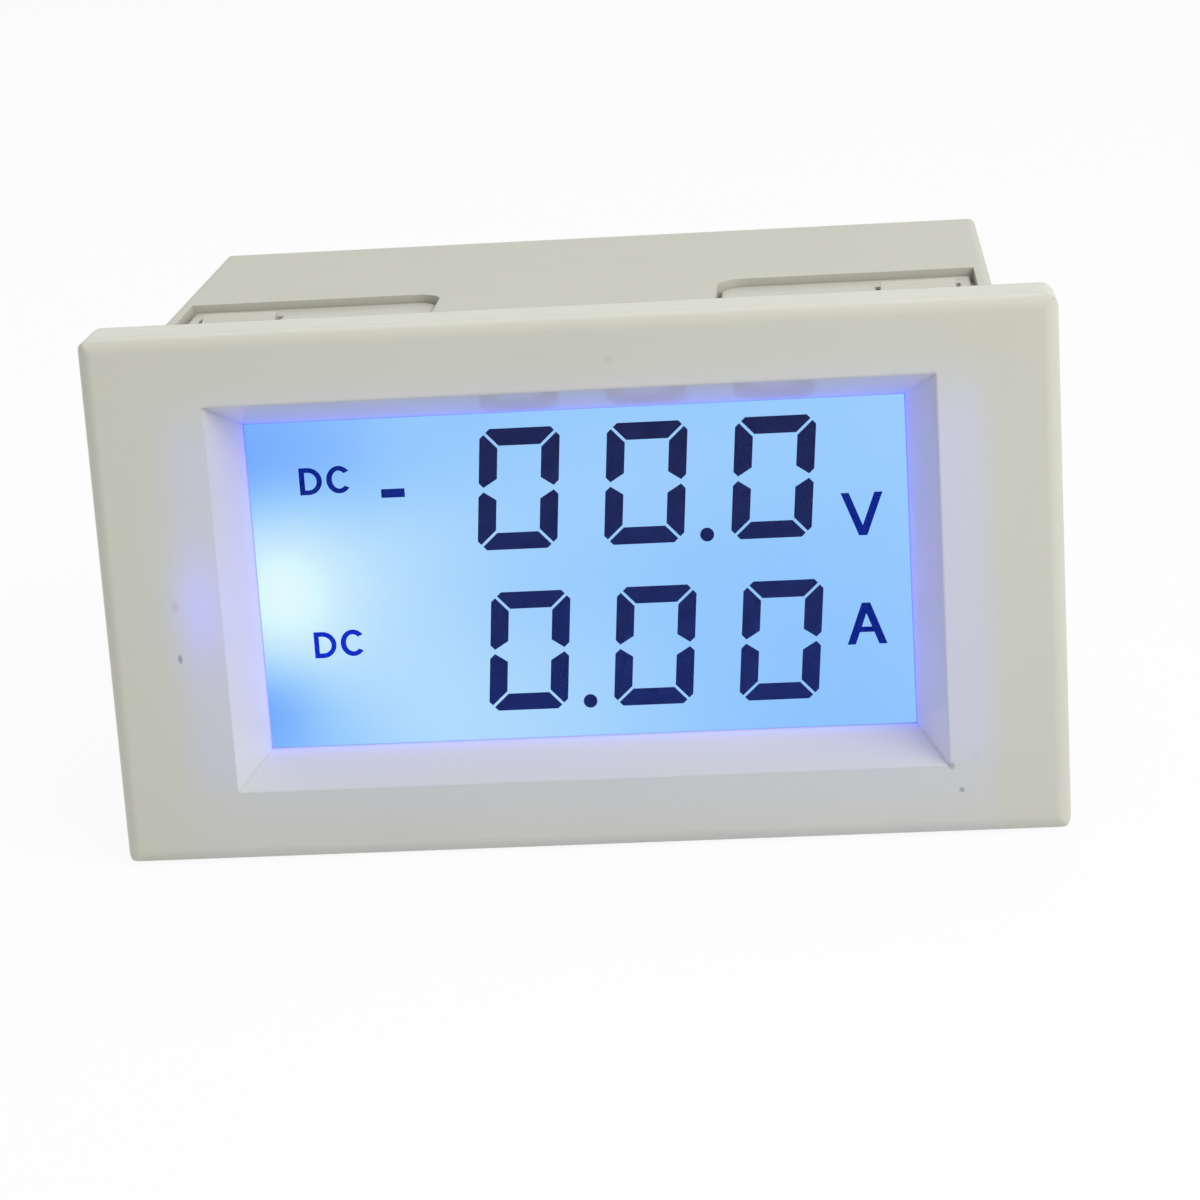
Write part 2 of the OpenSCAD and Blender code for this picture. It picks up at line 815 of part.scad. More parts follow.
// Pan-headed terminal screw with a combined slot and cross.
module terminal_screw(i) {
    tip_y = base_top_y - thread_l + 0.5;
    top_y = head_y + head_h;
    dome = 0.5;
    color(METAL) translate([terminal_x(i), 0, block_z]) difference() {
        union() {
            rod(screw_r, tip_y, head_y + EPS);
            translate([0, head_y, 0]) rotate([-90, 0, 0]) rotate_extrude() {
                polygon([[0, 0], [head_r, 0], [head_r, head_h - dome],
                         [head_r - dome * 0.35, head_h - dome * 0.35],
                         [head_r - dome, head_h], [0, head_h]]);
            }
        }
        cross_recess(1.7, 0.8, top_y - 1.3, top_y + CUT);
        plate(2 * head_r + CUT, 0.8, top_y - 0.9, 0.9 + CUT);
    }
}

// -------------------------------------------------------------- trimmers

// Places a pattern at a trimmer's three legs, measured from its middle.
module at_trimmer_legs() {
    for (i = [-1:1]) {
        translate([i * pin_pitch, trimmer_w / 2 - 0.8]) children();
    }
}

// Square trimmer body on the power board's rear face, with its legs through it.
module trimmer_body(side) {
    color([0.15, 0.3, 0.65]) translate([side * trimmer_x, 0, trimmer_z]) {
        difference() {
            along_y(power_back_y, power_back_y + trimmer_t)
                round_rect(trimmer_w, trimmer_w, 0.4);
            rod(rotor_r + turn_fit, rotor_y - 0.2, power_back_y + trimmer_t + CUT);
        }
        along_y(power_y - 0.8, power_back_y + EPS) at_trimmer_legs() circle(lead_r);
    }
}

// Rotor with a screwdriver slot, which turns in its body.
module trimmer_rotor(side) {
    color([0.92, 0.9, 0.85]) translate([side * trimmer_x, 0, trimmer_z]) difference() {
        rod(rotor_r, rotor_y, rotor_y + rotor_l);
        plate(2 * rotor_r + CUT, 0.6, rotor_y + rotor_l - 0.9, 2 * CUT);
        plate(0.6, 1.6, rotor_y + rotor_l - 0.9, 2 * CUT);
    }
}

// ---------------------------------------------------- power components

lead_r = 0.3;
tall_z = power_board_h / 2 - 5.6;
low_z = -power_board_h / 2 + 2.5;
big_can_x = -6;
big_can_r = 4;
big_can_lead = 1.75;
small_can_x = 2.5;
small_can_r = 3.15;
small_can_lead = 1.25;
box_cap_x = 10;
box_cap_w = 7.2;
box_cap_lead = 2.5;
regulator_x = -18.5;
regulator_lead = 1.27;
resistor_n = 3;
resistor_l = 6.3;
resistor_span = 10.16;
resistor_pitch = 3.2;
resistor_x = -9;
diode_x = 9;

// Places a pattern at every component lead that goes through the power board.
module at_lead_holes() {
    for (side = [-1, 1]) {
        translate([big_can_x + side * big_can_lead, tall_z]) children();
        translate([small_can_x + side * small_can_lead, tall_z]) children();
        translate([box_cap_x + side * box_cap_lead, tall_z]) children();
        translate([diode_x + side * resistor_span / 2, low_z]) children();
        for (i = [0:resistor_n - 1]) {
            translate([resistor_x + side * resistor_span / 2, low_z + i * resistor_pitch])
                children();
        }
        translate([side * trimmer_x, trimmer_z]) at_trimmer_legs() children();
    }
    for (i = [-1:1]) {
        translate([regulator_x + i * regulator_lead, tall_z]) children();
    }
}

// Lead from y0 into the board, trimmed flush with its rear face.
module lead(x, z, y0) {
    translate([x, 0, z]) rod(lead_r, y0, power_back_y);
}

// Electrolytic capacitor standing forward from the power board.
module can(x, r, h, lead_dx) {
    groove = 0.35;
    translate([x, 0, tall_z]) translate([0, power_y, 0]) rotate([90, 0, 0]) difference() {
        rotate_extrude() polygon([
            [0, 0], [r - 0.3, 0], [r, 0.4], [r, 1.6], [r - groove, 2], [r, 2.4],
            [r, h - 0.6], [r - 0.6, h], [0, h]]);
        for (turn = [0, 90]) {
            rotate(turn) translate([0, 0, h]) cube([1.3 * r, 0.3, 0.4], center = true);
        }
    }
    for (side = [-1, 1]) {
        lead(x + side * lead_dx, tall_z, power_y - EPS);
    }
}

module supply_capacitor() {
    color([0.12, 0.14, 0.3]) can(big_can_x, big_can_r, 12, big_can_lead);
}

module output_capacitor() {
    color([0.12, 0.14, 0.3]) can(small_can_x, small_can_r, 11, small_can_lead);
}

// Box-shaped capacitor with round edges.
module film_capacitor() {
    color([0.65, 0.15, 0.12]) {
        translate([box_cap_x, 0, tall_z]) along_y(power_y - 6.5, power_y)
            round_rect(box_cap_w, 3, 0.5);
        for (side = [-1, 1]) {
            lead(box_cap_x + side * box_cap_lead, tall_z, power_y - EPS);
        }
    }
}

// Three-legged regulator with a flat face.
module regulator() {
    color(BLACK) {
        translate([regulator_x, 0, tall_z]) along_y(power_y - 7, power_y - 2)
            intersection() {
                circle(2.4);
                translate([-3, -1.4]) square([6, 4]);
            }
        for (i = [-1:1]) {
            lead(regulator_x + i * regulator_lead, tall_z, power_y - 2 - EPS);
        }
    }
}

// Body of a small part lying flat, with its leads bent down into the board.
module axial(x, z, r, l, end_r) {
    axis_y = power_y - end_r - 0.1;
    translate([x, axis_y, z]) rotate([0, 90, 0]) rotate_extrude() polygon([
        [0, -l / 2], [end_r - 0.2, -l / 2], [end_r, -l / 2 + 0.3], [end_r, -l / 2 + 1.2],
        [r, -l / 2 + 1.7], [r, l / 2 - 1.7], [end_r, l / 2 - 1.2], [end_r, l / 2 - 0.3],
        [end_r - 0.2, l / 2], [0, l / 2]]);
    for (side = [-1, 1]) {
        translate([x + side * resistor_span / 2, axis_y, z]) sphere(lead_r);
        lead(x + side * resistor_span / 2, z, axis_y);
    }
    translate([x, axis_y, z]) rotate([0, 90, 0])
        cylinder(r = lead_r, h = resistor_span, center = true);
}

// Precision resistors of the voltage divider.
module divider_resistors() {
    color([0.35, 0.55, 0.75]) for (i = [0:resistor_n - 1]) {
        axial(resistor_x, low_z + i * resistor_pitch, 1, resistor_l, 1.2);
    }
}

module supply_diode() {
    color(BLACK) axial(diode_x, low_z, 1.3, 5.2, 1.3);
}

// ------------------------------------------------------------------ parts

front_bezel();
rear_housing();
front_polariser();
front_glass();
cell_seal();
display_segments();
rear_glass();
rear_polariser();
diffuser_film();
light_guide();
reflector_film();
backlight_led();
display_pins();
display_board();
meter_chip();
amplifier_chip();
header_pins();
header_bases();
header_sockets();
power_board();
board_screws();
terminal_block();
contact_plates();
for (i = [1:terminal_n]) {
    clamp_washer(i);
    terminal_screw(i);
}
trimmer_body(-1);  // trimmer_body_volts
trimmer_body(1);  // trimmer_body_amps
trimmer_rotor(-1);  // trimmer_rotor_volts
trimmer_rotor(1);  // trimmer_rotor_amps
supply_capacitor();
output_capacitor();
film_capacitor();
regulator();
divider_resistors();
supply_diode();
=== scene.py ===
"""Looks of a digital panel meter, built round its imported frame.

The frame gives every size and place. This script dresses each of its nodes and adds
what the frame leaves out: the display's letters, the threads of the terminal screws
and the solder on the boards.

Lengths are in millimetres until a mesh is made, which is in metres. +X is to the right
of someone reading the display, +Y goes into the panel and +Z is up.
"""

from __future__ import annotations

import logging
import math
from dataclasses import dataclass
from enum import Enum
from functools import cache
from typing import Any, Sequence

import bmesh
import bpy
from mathutils import Matrix, Vector


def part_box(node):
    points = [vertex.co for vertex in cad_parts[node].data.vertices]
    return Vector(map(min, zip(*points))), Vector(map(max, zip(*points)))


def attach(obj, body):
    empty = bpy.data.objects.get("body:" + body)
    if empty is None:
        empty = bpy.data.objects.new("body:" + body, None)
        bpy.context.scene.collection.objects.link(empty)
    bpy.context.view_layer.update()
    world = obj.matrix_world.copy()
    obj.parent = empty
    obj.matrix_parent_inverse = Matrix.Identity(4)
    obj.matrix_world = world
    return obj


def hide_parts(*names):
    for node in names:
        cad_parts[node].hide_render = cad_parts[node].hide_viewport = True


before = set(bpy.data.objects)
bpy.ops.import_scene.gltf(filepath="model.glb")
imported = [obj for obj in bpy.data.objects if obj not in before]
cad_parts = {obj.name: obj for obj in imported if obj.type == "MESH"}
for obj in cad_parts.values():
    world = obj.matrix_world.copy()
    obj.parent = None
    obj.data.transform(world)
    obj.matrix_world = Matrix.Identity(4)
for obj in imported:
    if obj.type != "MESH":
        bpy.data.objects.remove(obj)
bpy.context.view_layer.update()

LOG = logging.getLogger("panel_meter")
MM = 0.001
METER = "meter"
FAR = 50.0
SMALL_EDGE = 0.08
WHITE = (1.0, 1.0, 1.0)

Colour = tuple[float, float, float]
Point2 = tuple[float, float]
Point3 = tuple[float, float, float]
Span = tuple[float, float, float, float]
Socket = bpy.types.NodeSocket
Mesh = bpy.types.Mesh
Work = bmesh.types.BMesh


# ---- helpers


def srgb(red: int, green: int, blue: int) -> Colour:
    """Returns the linear colour of three display values from 0 to 255."""
    values = [v / 255 for v in (red, green, blue)]
    return tuple(v / 12.92 if v <= 0.04045 else ((v + 0.055) / 1.055) ** 2.4 for v in values)


def scaled(colour: Colour, share: float) -> Colour:
    """Returns a colour made lighter or darker."""
    return tuple(min(1.0, c * share) for c in colour)


def box_mm(node: str) -> tuple[Vector, Vector]:
    """Returns the lowest and highest corner of a node in millimetres."""
    low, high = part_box(node)
    return low / MM, high / MM


def placed(name: str, data: bpy.types.ID) -> bpy.types.Object:
    """Makes an object that holds data and puts it in the scene."""
    thing = bpy.data.objects.new(name, data)
    bpy.context.scene.collection.objects.link(thing)
    return thing


class Nodes:
    """A node tree, with short calls that add and join nodes."""

    def __init__(self, tree: bpy.types.NodeTree) -> None:
        """Empties the tree."""
        self.tree = tree
        self.tree.nodes.clear()

    def add(self, kind: str, sockets: dict[Any, Any] | None = None, **settings: Any) -> bpy.types.Node:
        """Adds a node.

        Args:
            kind: The node's type without its ShaderNode prefix.
            sockets: Inputs by name or number, each with a value or a socket to join to it.
            **settings: Attributes of the node.
        """
        node = self.tree.nodes.new("ShaderNode" + kind)
        for key, value in settings.items():
            setattr(node, key, value)
        for key, value in (sockets or {}).items():
            self.feed(node.inputs[key], value)
        return node

    def feed(self, socket: Socket, value: Any) -> None:
        """Joins a socket to value, or sets it where value is plain."""
        if isinstance(value, bpy.types.NodeSocket):
            self.tree.links.new(value, socket)
        elif isinstance(value, tuple) and len(value) == 3 and socket.type == "RGBA":
            socket.default_value = (*value, 1.0)
        else:
            socket.default_value = value

    def maths(self, operation: str, first: Any, *others: Any, clamp: bool = False) -> Socket:
        """Returns the result of one operation on one value, or on each of several in turn."""
        for other in others or (0.0,):
            first = self.add("Math", {0: first, 1: other}, operation=operation, use_clamp=clamp).outputs[0]
        return first

    def spread(self, value: Any, low: float, high: float, to_low: Any, to_high: Any) -> Socket:
        """Returns value moved from the span low..high to to_low..to_high, and kept in it."""
        sockets = {"Value": value, "From Min": low, "From Max": high, "To Min": to_low, "To Max": to_high}
        return self.add("MapRange", sockets).outputs["Result"]

    def seen_rays(self) -> Socket:
        """Returns 1 for rays that show the surroundings, and 0 for those that light things."""
        path = self.add("LightPath").outputs
        kinds = ("Camera", "Glossy", "Transmission")
        return self.maths("MAXIMUM", *(path[f"Is {kind} Ray"] for kind in kinds))


class Recipe(Nodes):
    """A material's node tree, with the patterns and measures that the finishes share."""

    def __init__(self, name: str) -> None:
        """Starts an empty material called name."""
        self.material = bpy.data.materials.new(name)
        self.material.use_nodes = True
        super().__init__(self.material.node_tree)
        self.output = self.add("OutputMaterial")
        self.place = self.add("TexCoord").outputs["Object"]

    def vector(self, operation: str, first: Any, second: Any = (0.0, 0.0, 0.0)) -> Socket:
        """Returns the result of one sum on two vectors, as a value where it is one."""
        node = self.add("VectorMath", {0: first, 1: second}, operation=operation)
        plain = operation in ("LENGTH", "DISTANCE", "DOT_PRODUCT")
        return node.outputs["Value" if plain else "Vector"]

    def spot(self, centre: Point3, size: Point3) -> Socket:
        """Returns 1 at centre, falling to a third at size along each axis, in millimetres."""
        away = self.vector("SUBTRACT", self.place, tuple(c * MM for c in centre))
        shrunk = self.vector("MULTIPLY", away, tuple(1 / (s * MM) for s in size))
        square = self.vector("DOT_PRODUCT", shrunk, shrunk)
        return self.maths("EXPONENT", self.maths("MULTIPLY", square, -1.0))

    def inside(self, low: Sequence[float], high: Sequence[float]) -> Socket:
        """Returns 1 inside a box given by two corners in millimetres, and 0 outside."""
        middle = tuple((a + b) / 2 * MM for a, b in zip(low, high))
        half = tuple((b - a) / 2 * MM for a, b in zip(low, high))
        away = self.vector("ABSOLUTE", self.vector("SUBTRACT", self.place, middle))
        over = self.add("SeparateXYZ", {0: self.vector("SUBTRACT", away, half)}).outputs
        return self.maths("LESS_THAN", self.maths("MAXIMUM", *over), 0.0)

    def noise(self, size: float, detail: float = 3.0, stretch: Sequence[float] = (1, 1, 1)) -> Socket:
        """Returns a soft noise between 0 and 1.

        Args:
            size: Rough size of its blotches in millimetres.
            detail: Number of finer layers.
            stretch: How much finer it is along each axis.
        """
        place = self.add("Mapping", {"Vector": self.place, "Scale": tuple(stretch)}).outputs[0]
        sockets = {"Vector": place, "Scale": 1.0 / (size * MM), "Detail": detail}
        return self.add("TexNoise", sockets).outputs["Fac"]

    def ramp(self, value: Any, stops: Sequence[tuple[float, Colour]]) -> Socket:
        """Returns the colour at value on a ramp of stops, each with its place and colour."""
        node = self.add("ValToRGB", {0: value})
        points = node.color_ramp.elements
        while len(points) < len(stops):
            points.new(0.5)
        for point, (place, colour) in zip(points, stops):
            point.position = place
            point.color = (*colour, 1.0)
        return node.outputs["Color"]

    def along(self, axis: str) -> Socket:
        """Returns the place along an axis in metres."""
        return self.add("SeparateXYZ", {0: self.place}).outputs[axis]

    def fade(self, place: str | Socket, low: float, high: float, start: float, end: float) -> Socket:
        """Returns a share that goes from start to end between two places in millimetres.

        The place is the axis to go along, or a distance in metres.
        """
        value = self.along(place) if isinstance(place, str) else place
        return self.spread(value, low * MM, high * MM, start, end)

    def openness(self, reach: float, samples: int) -> Socket:
        """Returns 1 on open faces, falling to 0 in corners within reach millimetres."""
        return self.add("AmbientOcclusion", {"Distance": reach * MM}, samples=samples).outputs["AO"]

    def rounded(self, radius: float) -> Socket:
        """Returns a normal that rounds the look of edges to radius millimetres."""
        return self.add("Bevel", {"Radius": radius * MM}, samples=4).outputs["Normal"]

    def slant(self) -> Socket:
        """Returns 0 where the surface is seen head on, rising to 1 from its side."""
        return self.add("LayerWeight", {"Blend": 0.5}).outputs["Facing"]

    def blend(self, share: Any, first: Any, second: Any) -> Socket:
        """Returns a colour between first and second."""
        return self.add("Mix", {0: share, 6: first, 7: second}, data_type="RGBA").outputs[2]

    def bump(self, height: Any, depth: float, normal: Any = None) -> Socket:
        """Returns the normal of a surface raised by up to depth millimetres."""
        sockets = {"Height": height, "Distance": depth * MM, "Strength": 1.0}
        if normal is not None:
            sockets["Normal"] = normal
        return self.add("Bump", sockets).outputs["Normal"]

    def principled(self, **sockets: Any) -> Socket:
        """Returns a principled shader, given its inputs with _ for each space in their names."""
        named = {key.replace("_", " "): value for key, value in sockets.items()}
        return self.add("BsdfPrincipled", named).outputs[0]


@dataclass(frozen=True)
class Finish:
    """A finish that nodes and pieces can share.

    Attributes:
        name: The material's name.
    """

    name: str

    @cache
    def material(self) -> bpy.types.Material:
        """Returns the material, made when it is first asked for."""
        mix = Recipe(self.name)
        mix.feed(mix.output.inputs["Surface"], self.shader(mix))
        return mix.material

    def shader(self, mix: Recipe) -> Socket:
        """Returns its shader."""
        raise NotImplementedError


def dress(finish: Finish, *nodes: str) -> None:
    """Gives each named node of the frame one finish."""
    for name in nodes:
        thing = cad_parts[name]
        if not thing.material_slots:
            thing.data.materials.append(finish.material())
        for held in thing.material_slots:
            held.material = finish.material()
        LOG.info("%s: %s", name, finish.name)


def add_piece(name: str, mesh: Mesh, finish: Finish, body: str) -> bpy.types.Object:
    """Makes an object from a mesh and lets it ride on a body.

    Args:
        name: The piece's name.
        mesh: Its mesh, in metres.
        finish: Its finish.
        body: The body that carries it.

    Returns:
        The new object.
    """
    piece = placed(name, mesh)
    mesh.materials.clear()
    mesh.materials.append(finish.material())
    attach(piece, body)
    LOG.info("%s: %d faces on %s", name, len(mesh.polygons), body)
    return piece


def mesh_from(name: str, work: Work, smooth_angle: float = 35.0) -> Mesh:
    """Turns a working mesh into a finished one and frees it.

    Args:
        name: The mesh's name.
        work: The working mesh, in metres.
        smooth_angle: Largest angle in degrees at which two faces look like one.
    """
    bmesh.ops.recalc_face_normals(work, faces=work.faces)
    limit = math.radians(smooth_angle)
    for face in work.faces:
        face.smooth = True
    for edge in work.edges:
        edge.smooth = len(edge.link_faces) == 2 and edge.calc_face_angle(0.0) < limit
    mesh = bpy.data.meshes.new(name)
    work.to_mesh(mesh)
    work.free()
    return mesh


def flat_outline_mesh(name: str, outlines: Sequence[Sequence[Point2]], y0: float, y1: float) -> Mesh:
    """Makes a thin piece from closed outlines in the XZ plane.

    Args:
        name: The mesh's name.
        outlines: Closed outlines. One that lies inside another is a hole.
        y0: Front of the piece.
        y1: Back of the piece.

    Returns:
        The mesh, in metres.
    """
    curve = bpy.data.curves.new(name, "CURVE")
    curve.dimensions = "2D"
    curve.fill_mode = "BOTH"
    curve.extrude = (y1 - y0) / 2 * MM
    for outline in outlines:
        spline = curve.splines.new("POLY")
        spline.points.add(len(outline) - 1)
        for point, (x, z) in zip(spline.points, outline):
            point.co = (x * MM, z * MM, 0.0, 1.0)
        spline.use_cyclic_u = True
    maker = placed(name, curve)
    bpy.context.view_layer.update()
    mesh = bpy.data.meshes.new_from_object(maker)
    bpy.data.objects.remove(maker)
    middle = Matrix.Translation((0, (y0 + y1) / 2 * MM, 0))
    mesh.transform(middle @ Matrix.Rotation(math.pi / 2, 4, "X"))
    mesh.name = name
    return mesh


def arc(centre: Point2, radii: Point2, start: float, end: float, steps: int = 16) -> list[Point2]:
    """Returns points along an elliptic arc, with its angles in degrees."""
    angles = [math.radians(start + (end - start) * i / steps) for i in range(steps + 1)]
    return [(centre[0] + radii[0] * math.cos(a), centre[1] + radii[1] * math.sin(a)) for a in angles]


def spun(work: Work, profile: Sequence[Point2], centre: Point3, steps: int = 16) -> None:
    """Adds a turned solid with its axis along Y.

    Args:
        work: The working mesh.
        profile: Radius and Y of each ring; a radius of 0 is a point on the axis.
        centre: Where the axis crosses Y = 0 of the profile, in millimetres.
        steps: Number of faces round it.
    """
    rings: list[list[bmesh.types.BMVert]] = []
    for radius, y in profile:
        count = 1 if radius == 0 else steps
        ring = []
        for k in range(count):
            turn = 2 * math.pi * k / steps
            spot = (centre[0] + radius * math.cos(turn), centre[1] + y, centre[2] + radius * math.sin(turn))
            ring.append(work.verts.new(Vector(spot) * MM))
        rings.append(ring)
    for near, far in zip(rings, rings[1:]):
        for k in range(steps):
            sides = ((near, k), (near, k + 1), (far, k + 1), (far, k))
            work.faces.new(list(dict.fromkeys(ring[n % len(ring)] for ring, n in sides)))
    for ring in (rings[0], rings[-1]):
        if len(ring) > 1:
            work.faces.new(ring)


# ---- finishes


@dataclass(frozen=True)
class MouldedPlastic(Finish):
    """Injection-moulded plastic with a fine grain, a slightly uneven tone and painted shade in its corners.

    Attributes:
        colour: Its colour in linear light.
        roughness: Middle of its roughness.
        grain: Size of the mould's texture in millimetres.
        depth: Depth of that texture in millimetres.
        unevenness: How far the tone strays from the colour.
        blotch: Size of the patches of its tone, of its gloss and of its waves in millimetres.
        corner_shade: Share of painted shade in the deepest corners.
        shade_tint: Share of each colour that the painted shade leaves, a warm tint.
        gloss: Strength of the mirrored light, where 0.5 is plain plastic.
        edge: Radius to which its edges look rounded.
    """

    colour: Colour
    roughness: float = 0.42
    grain: float = 0.35
    depth: float = 0.004
    unevenness: float = 0.02
    blotch: Point3 = (14, 6, 9)
    corner_shade: float = 0.25
    shade_tint: Colour = (0.8, 0.76, 0.7)
    gloss: float = 0.5
    edge: float = 0.12

    def tone(self, mix: Recipe) -> Socket:
        """Returns the uneven colour, with painted shade darkening it in the corners."""
        ends = [(i, scaled(self.colour, 1 + (2 * i - 1) * self.unevenness)) for i in (0, 1)]
        clean = mix.ramp(mix.noise(self.blotch[0], 1), ends)
        # Painted shade: the colour darkens to a warm tint in corners, by the occlusion mask.
        shaded_colour = tuple(c * s for c, s in zip(self.colour, self.shade_tint))
        return mix.blend(mix.spread(mix.openness(0.8, 3), 0.3, 0.8, self.corner_shade, 0.0), clean, shaded_colour)

    def surface(self, mix: Recipe) -> tuple[Socket, Socket]:
        """Returns the roughness and the normal."""
        low, high = self.roughness - 0.05, self.roughness + 0.07
        rough = mix.spread(mix.noise(self.blotch[1], 1), 0.0, 1.0, low, high)
        waves = mix.bump(mix.noise(self.blotch[2], 1), 0.01, mix.rounded(self.edge))
        return rough, mix.bump(mix.noise(self.grain, 2), self.depth, waves)

    def glow_of(self, mix: Recipe) -> dict[str, Any]:
        """Returns the shader's inputs for light that shows through, of which plain plastic has none."""
        return {}

    def shader(self, mix: Recipe) -> Socket:
        """Returns its shader."""
        rough, normal = self.surface(mix)
        return mix.principled(Base_Color=self.tone(mix), Roughness=rough, Normal=normal, IOR=1.5,
                              Specular_IOR_Level=self.gloss, **self.glow_of(mix))


@dataclass(frozen=True)
class Speck:
    """A speck of dust moulded into or lying on the front face.

    Attributes:
        place: Its X and Z.
        half: Half its width and half its height.
        share: How well it covers the plastic.
        colour: Its colour.
    """

    place: Point2
    half: Point2
    share: float = 0.9
    colour: Colour = (0.05, 0.045, 0.05)


@dataclass(frozen=True)
class BezelPlastic(MouldedPlastic):
    """White plastic round the window, with a painted glow that stands in for the backlight that shows
    through it.

    Attributes:
        glow: Colour of that light.
        edge_light: Its strength at the edge of the display, below and above it.
        edge_heights: Heights between which that changes.
        edge_reach: Distance from the display at which a third of that is left.
        seam_light: Strength of the light that leaves the seam round the display.
        seam_reach: Distance from the seam at which a third of that is left.
        wall_light: Its strength in the thin front wall, to the left and to the right.
        wall_half: Half the width over which that changes.
        wall_ends: How it fades to the sides, in two shares: each two distances and the strength at them.
        wall_fades: How it fades along an axis, each with two places and the strength at them.
        lamp_light: Its strength next to the lamp.
        lamp: Middle of the patch next to the lamp.
        lamp_reach: Distance along each axis at which a third of it is left.
        opening: Half the width and half the height of the lit opening.
        display_y: Depth of the display's front.
        bevel: Two corners of the box that the window's bevel lies in.
        bevel_half: Half the height over which its tone changes.
        foot_light: How much paler the bevel is painted at its foot, a painted light where the lower bevel
            faces the lamps.
        smooth: Share of the roughness that the bevel has.
        rear_share: Share of the colour that the bezel has behind its front, where it is darker.
        specks: The specks on the front face.
    """

    glow: Colour = (0.0, 0.05, 1.0)
    edge_light: Point2 = (0.13, 0.30)
    edge_heights: Point2 = (-15, -8)
    edge_reach: float = 3.7
    seam_light: float = 0.3
    seam_reach: float = 0.8
    wall_light: Point2 = (0.11, 0.165)
    wall_half: float = 30
    wall_ends: tuple[Span, ...] = ((32.2, 34.5, 0.85, 0.0), (33, 39, 0.15, 0.0))
    wall_fades: tuple[tuple[str, Span], ...] = (
        ("Z", (12.5, 18.5, 1.0, 0.0)), ("Z", (-17, -14, 0.5, 1.0)), ("Z", (-23, -18, 0.5, 1.0)),
        ("Y", (-4, 2, 1.0, 0.0)))
    lamp_light: float = 0.28
    lamp: Point3 = (-31.3, -5.0, -0.4)
    lamp_reach: Point3 = (2.3, 4.0, 4.8)
    opening: Point2 = (27.1, 14.0)
    display_y: float = -0.6
    bevel: tuple[Point3, Point3] = ((-29.7, -4.96, -16.6), (29.7, 0.0, 16.6))
    bevel_half: float = 15
    foot_light: float = 1.12
    smooth: float = 0.55
    rear_share: float = 0.86
    specks: tuple[Speck, ...] = ()

    def wall(self, mix: Recipe) -> Socket:
        """Returns the painted glow in the thin wall, which ends where the wall grows thick."""
        out = mix.maths("ABSOLUTE", mix.along("X"))
        total = mix.maths("ADD", *(mix.fade(out, *span) for span in self.wall_ends))
        fades = [mix.fade(axis, *span) for axis, span in self.wall_fades]
        across = mix.fade("X", -self.wall_half, self.wall_half, *self.wall_light)
        return mix.maths("MULTIPLY", total, *fades, across)

    def light(self, mix: Recipe) -> Socket:
        """Returns the strength of the painted glow that stands in for the light that shows through."""
        shifted = mix.vector("SUBTRACT", mix.place, (0.0, self.display_y * MM, 0.0))
        half = (self.opening[0] * MM, 0.0, self.opening[1] * MM)
        over = mix.vector("SUBTRACT", mix.vector("ABSOLUTE", shifted), half)
        gap = mix.vector("MAXIMUM", over, (0.0, 0.0, 0.0))
        square = mix.vector("DOT_PRODUCT", gap, gap)
        near, close = [mix.maths("EXPONENT", mix.maths("MULTIPLY", square, -1 / (reach * MM) ** 2))
                       for reach in (self.edge_reach, self.seam_reach)]
        edge = mix.maths("MULTIPLY", near, mix.fade("Z", *self.edge_heights, *self.edge_light))
        seam = mix.maths("MULTIPLY", close, self.seam_light)
        lamp = mix.maths("MULTIPLY", mix.spot(self.lamp, self.lamp_reach), self.lamp_light)
        return mix.maths("ADD", edge, seam, lamp, self.wall(mix))

    def tone(self, mix: Recipe) -> Socket:
        """Returns the tone, with painted light that makes the bevel paler towards its foot, and with the
        specks on it.
        """
        # Painted light: the bevel is painted paler towards its foot, where it faces the lamps.
        foot = mix.fade("Z", -self.bevel_half, self.bevel_half, 1.0, 0.0)
        share = mix.maths("MULTIPLY", mix.inside(*self.bevel), foot)
        colour = mix.blend(share, super().tone(mix), scaled(self.colour, self.foot_light))
        behind = mix.fade("Y", 0.0, 1.0, 0.0, 1.0)
        colour = mix.blend(behind, colour, scaled(self.colour, self.rear_share))
        for speck in self.specks:
            place = (speck.place[0], -5.0, speck.place[1])
            patch = mix.spot(place, (speck.half[0], 1.0, speck.half[1]))
            colour = mix.blend(mix.spread(patch, 0.2, 0.6, 0.0, speck.share), colour, speck.colour)
        return colour

    def surface(self, mix: Recipe) -> tuple[Socket, Socket]:
        """Returns the roughness, less on the bevel, and the normal."""
        rough, normal = super().surface(mix)
        polished = mix.spread(mix.inside(*self.bevel), 0.0, 1.0, 1.0, self.smooth)
        return mix.maths("MULTIPLY", rough, polished), normal

    def glow_of(self, mix: Recipe) -> dict[str, Any]:
        """Returns the shader's inputs for the painted glow that stands in for the light that shows through.

        The light is faint, so no rays are sent out to look for it, which saves time.
        """
        mix.material.cycles.emission_sampling = "NONE"
        # Painted glow: the plastic emits the light that would show through it.
        return {"Emission_Color": self.glow, "Emission_Strength": self.light(mix)}


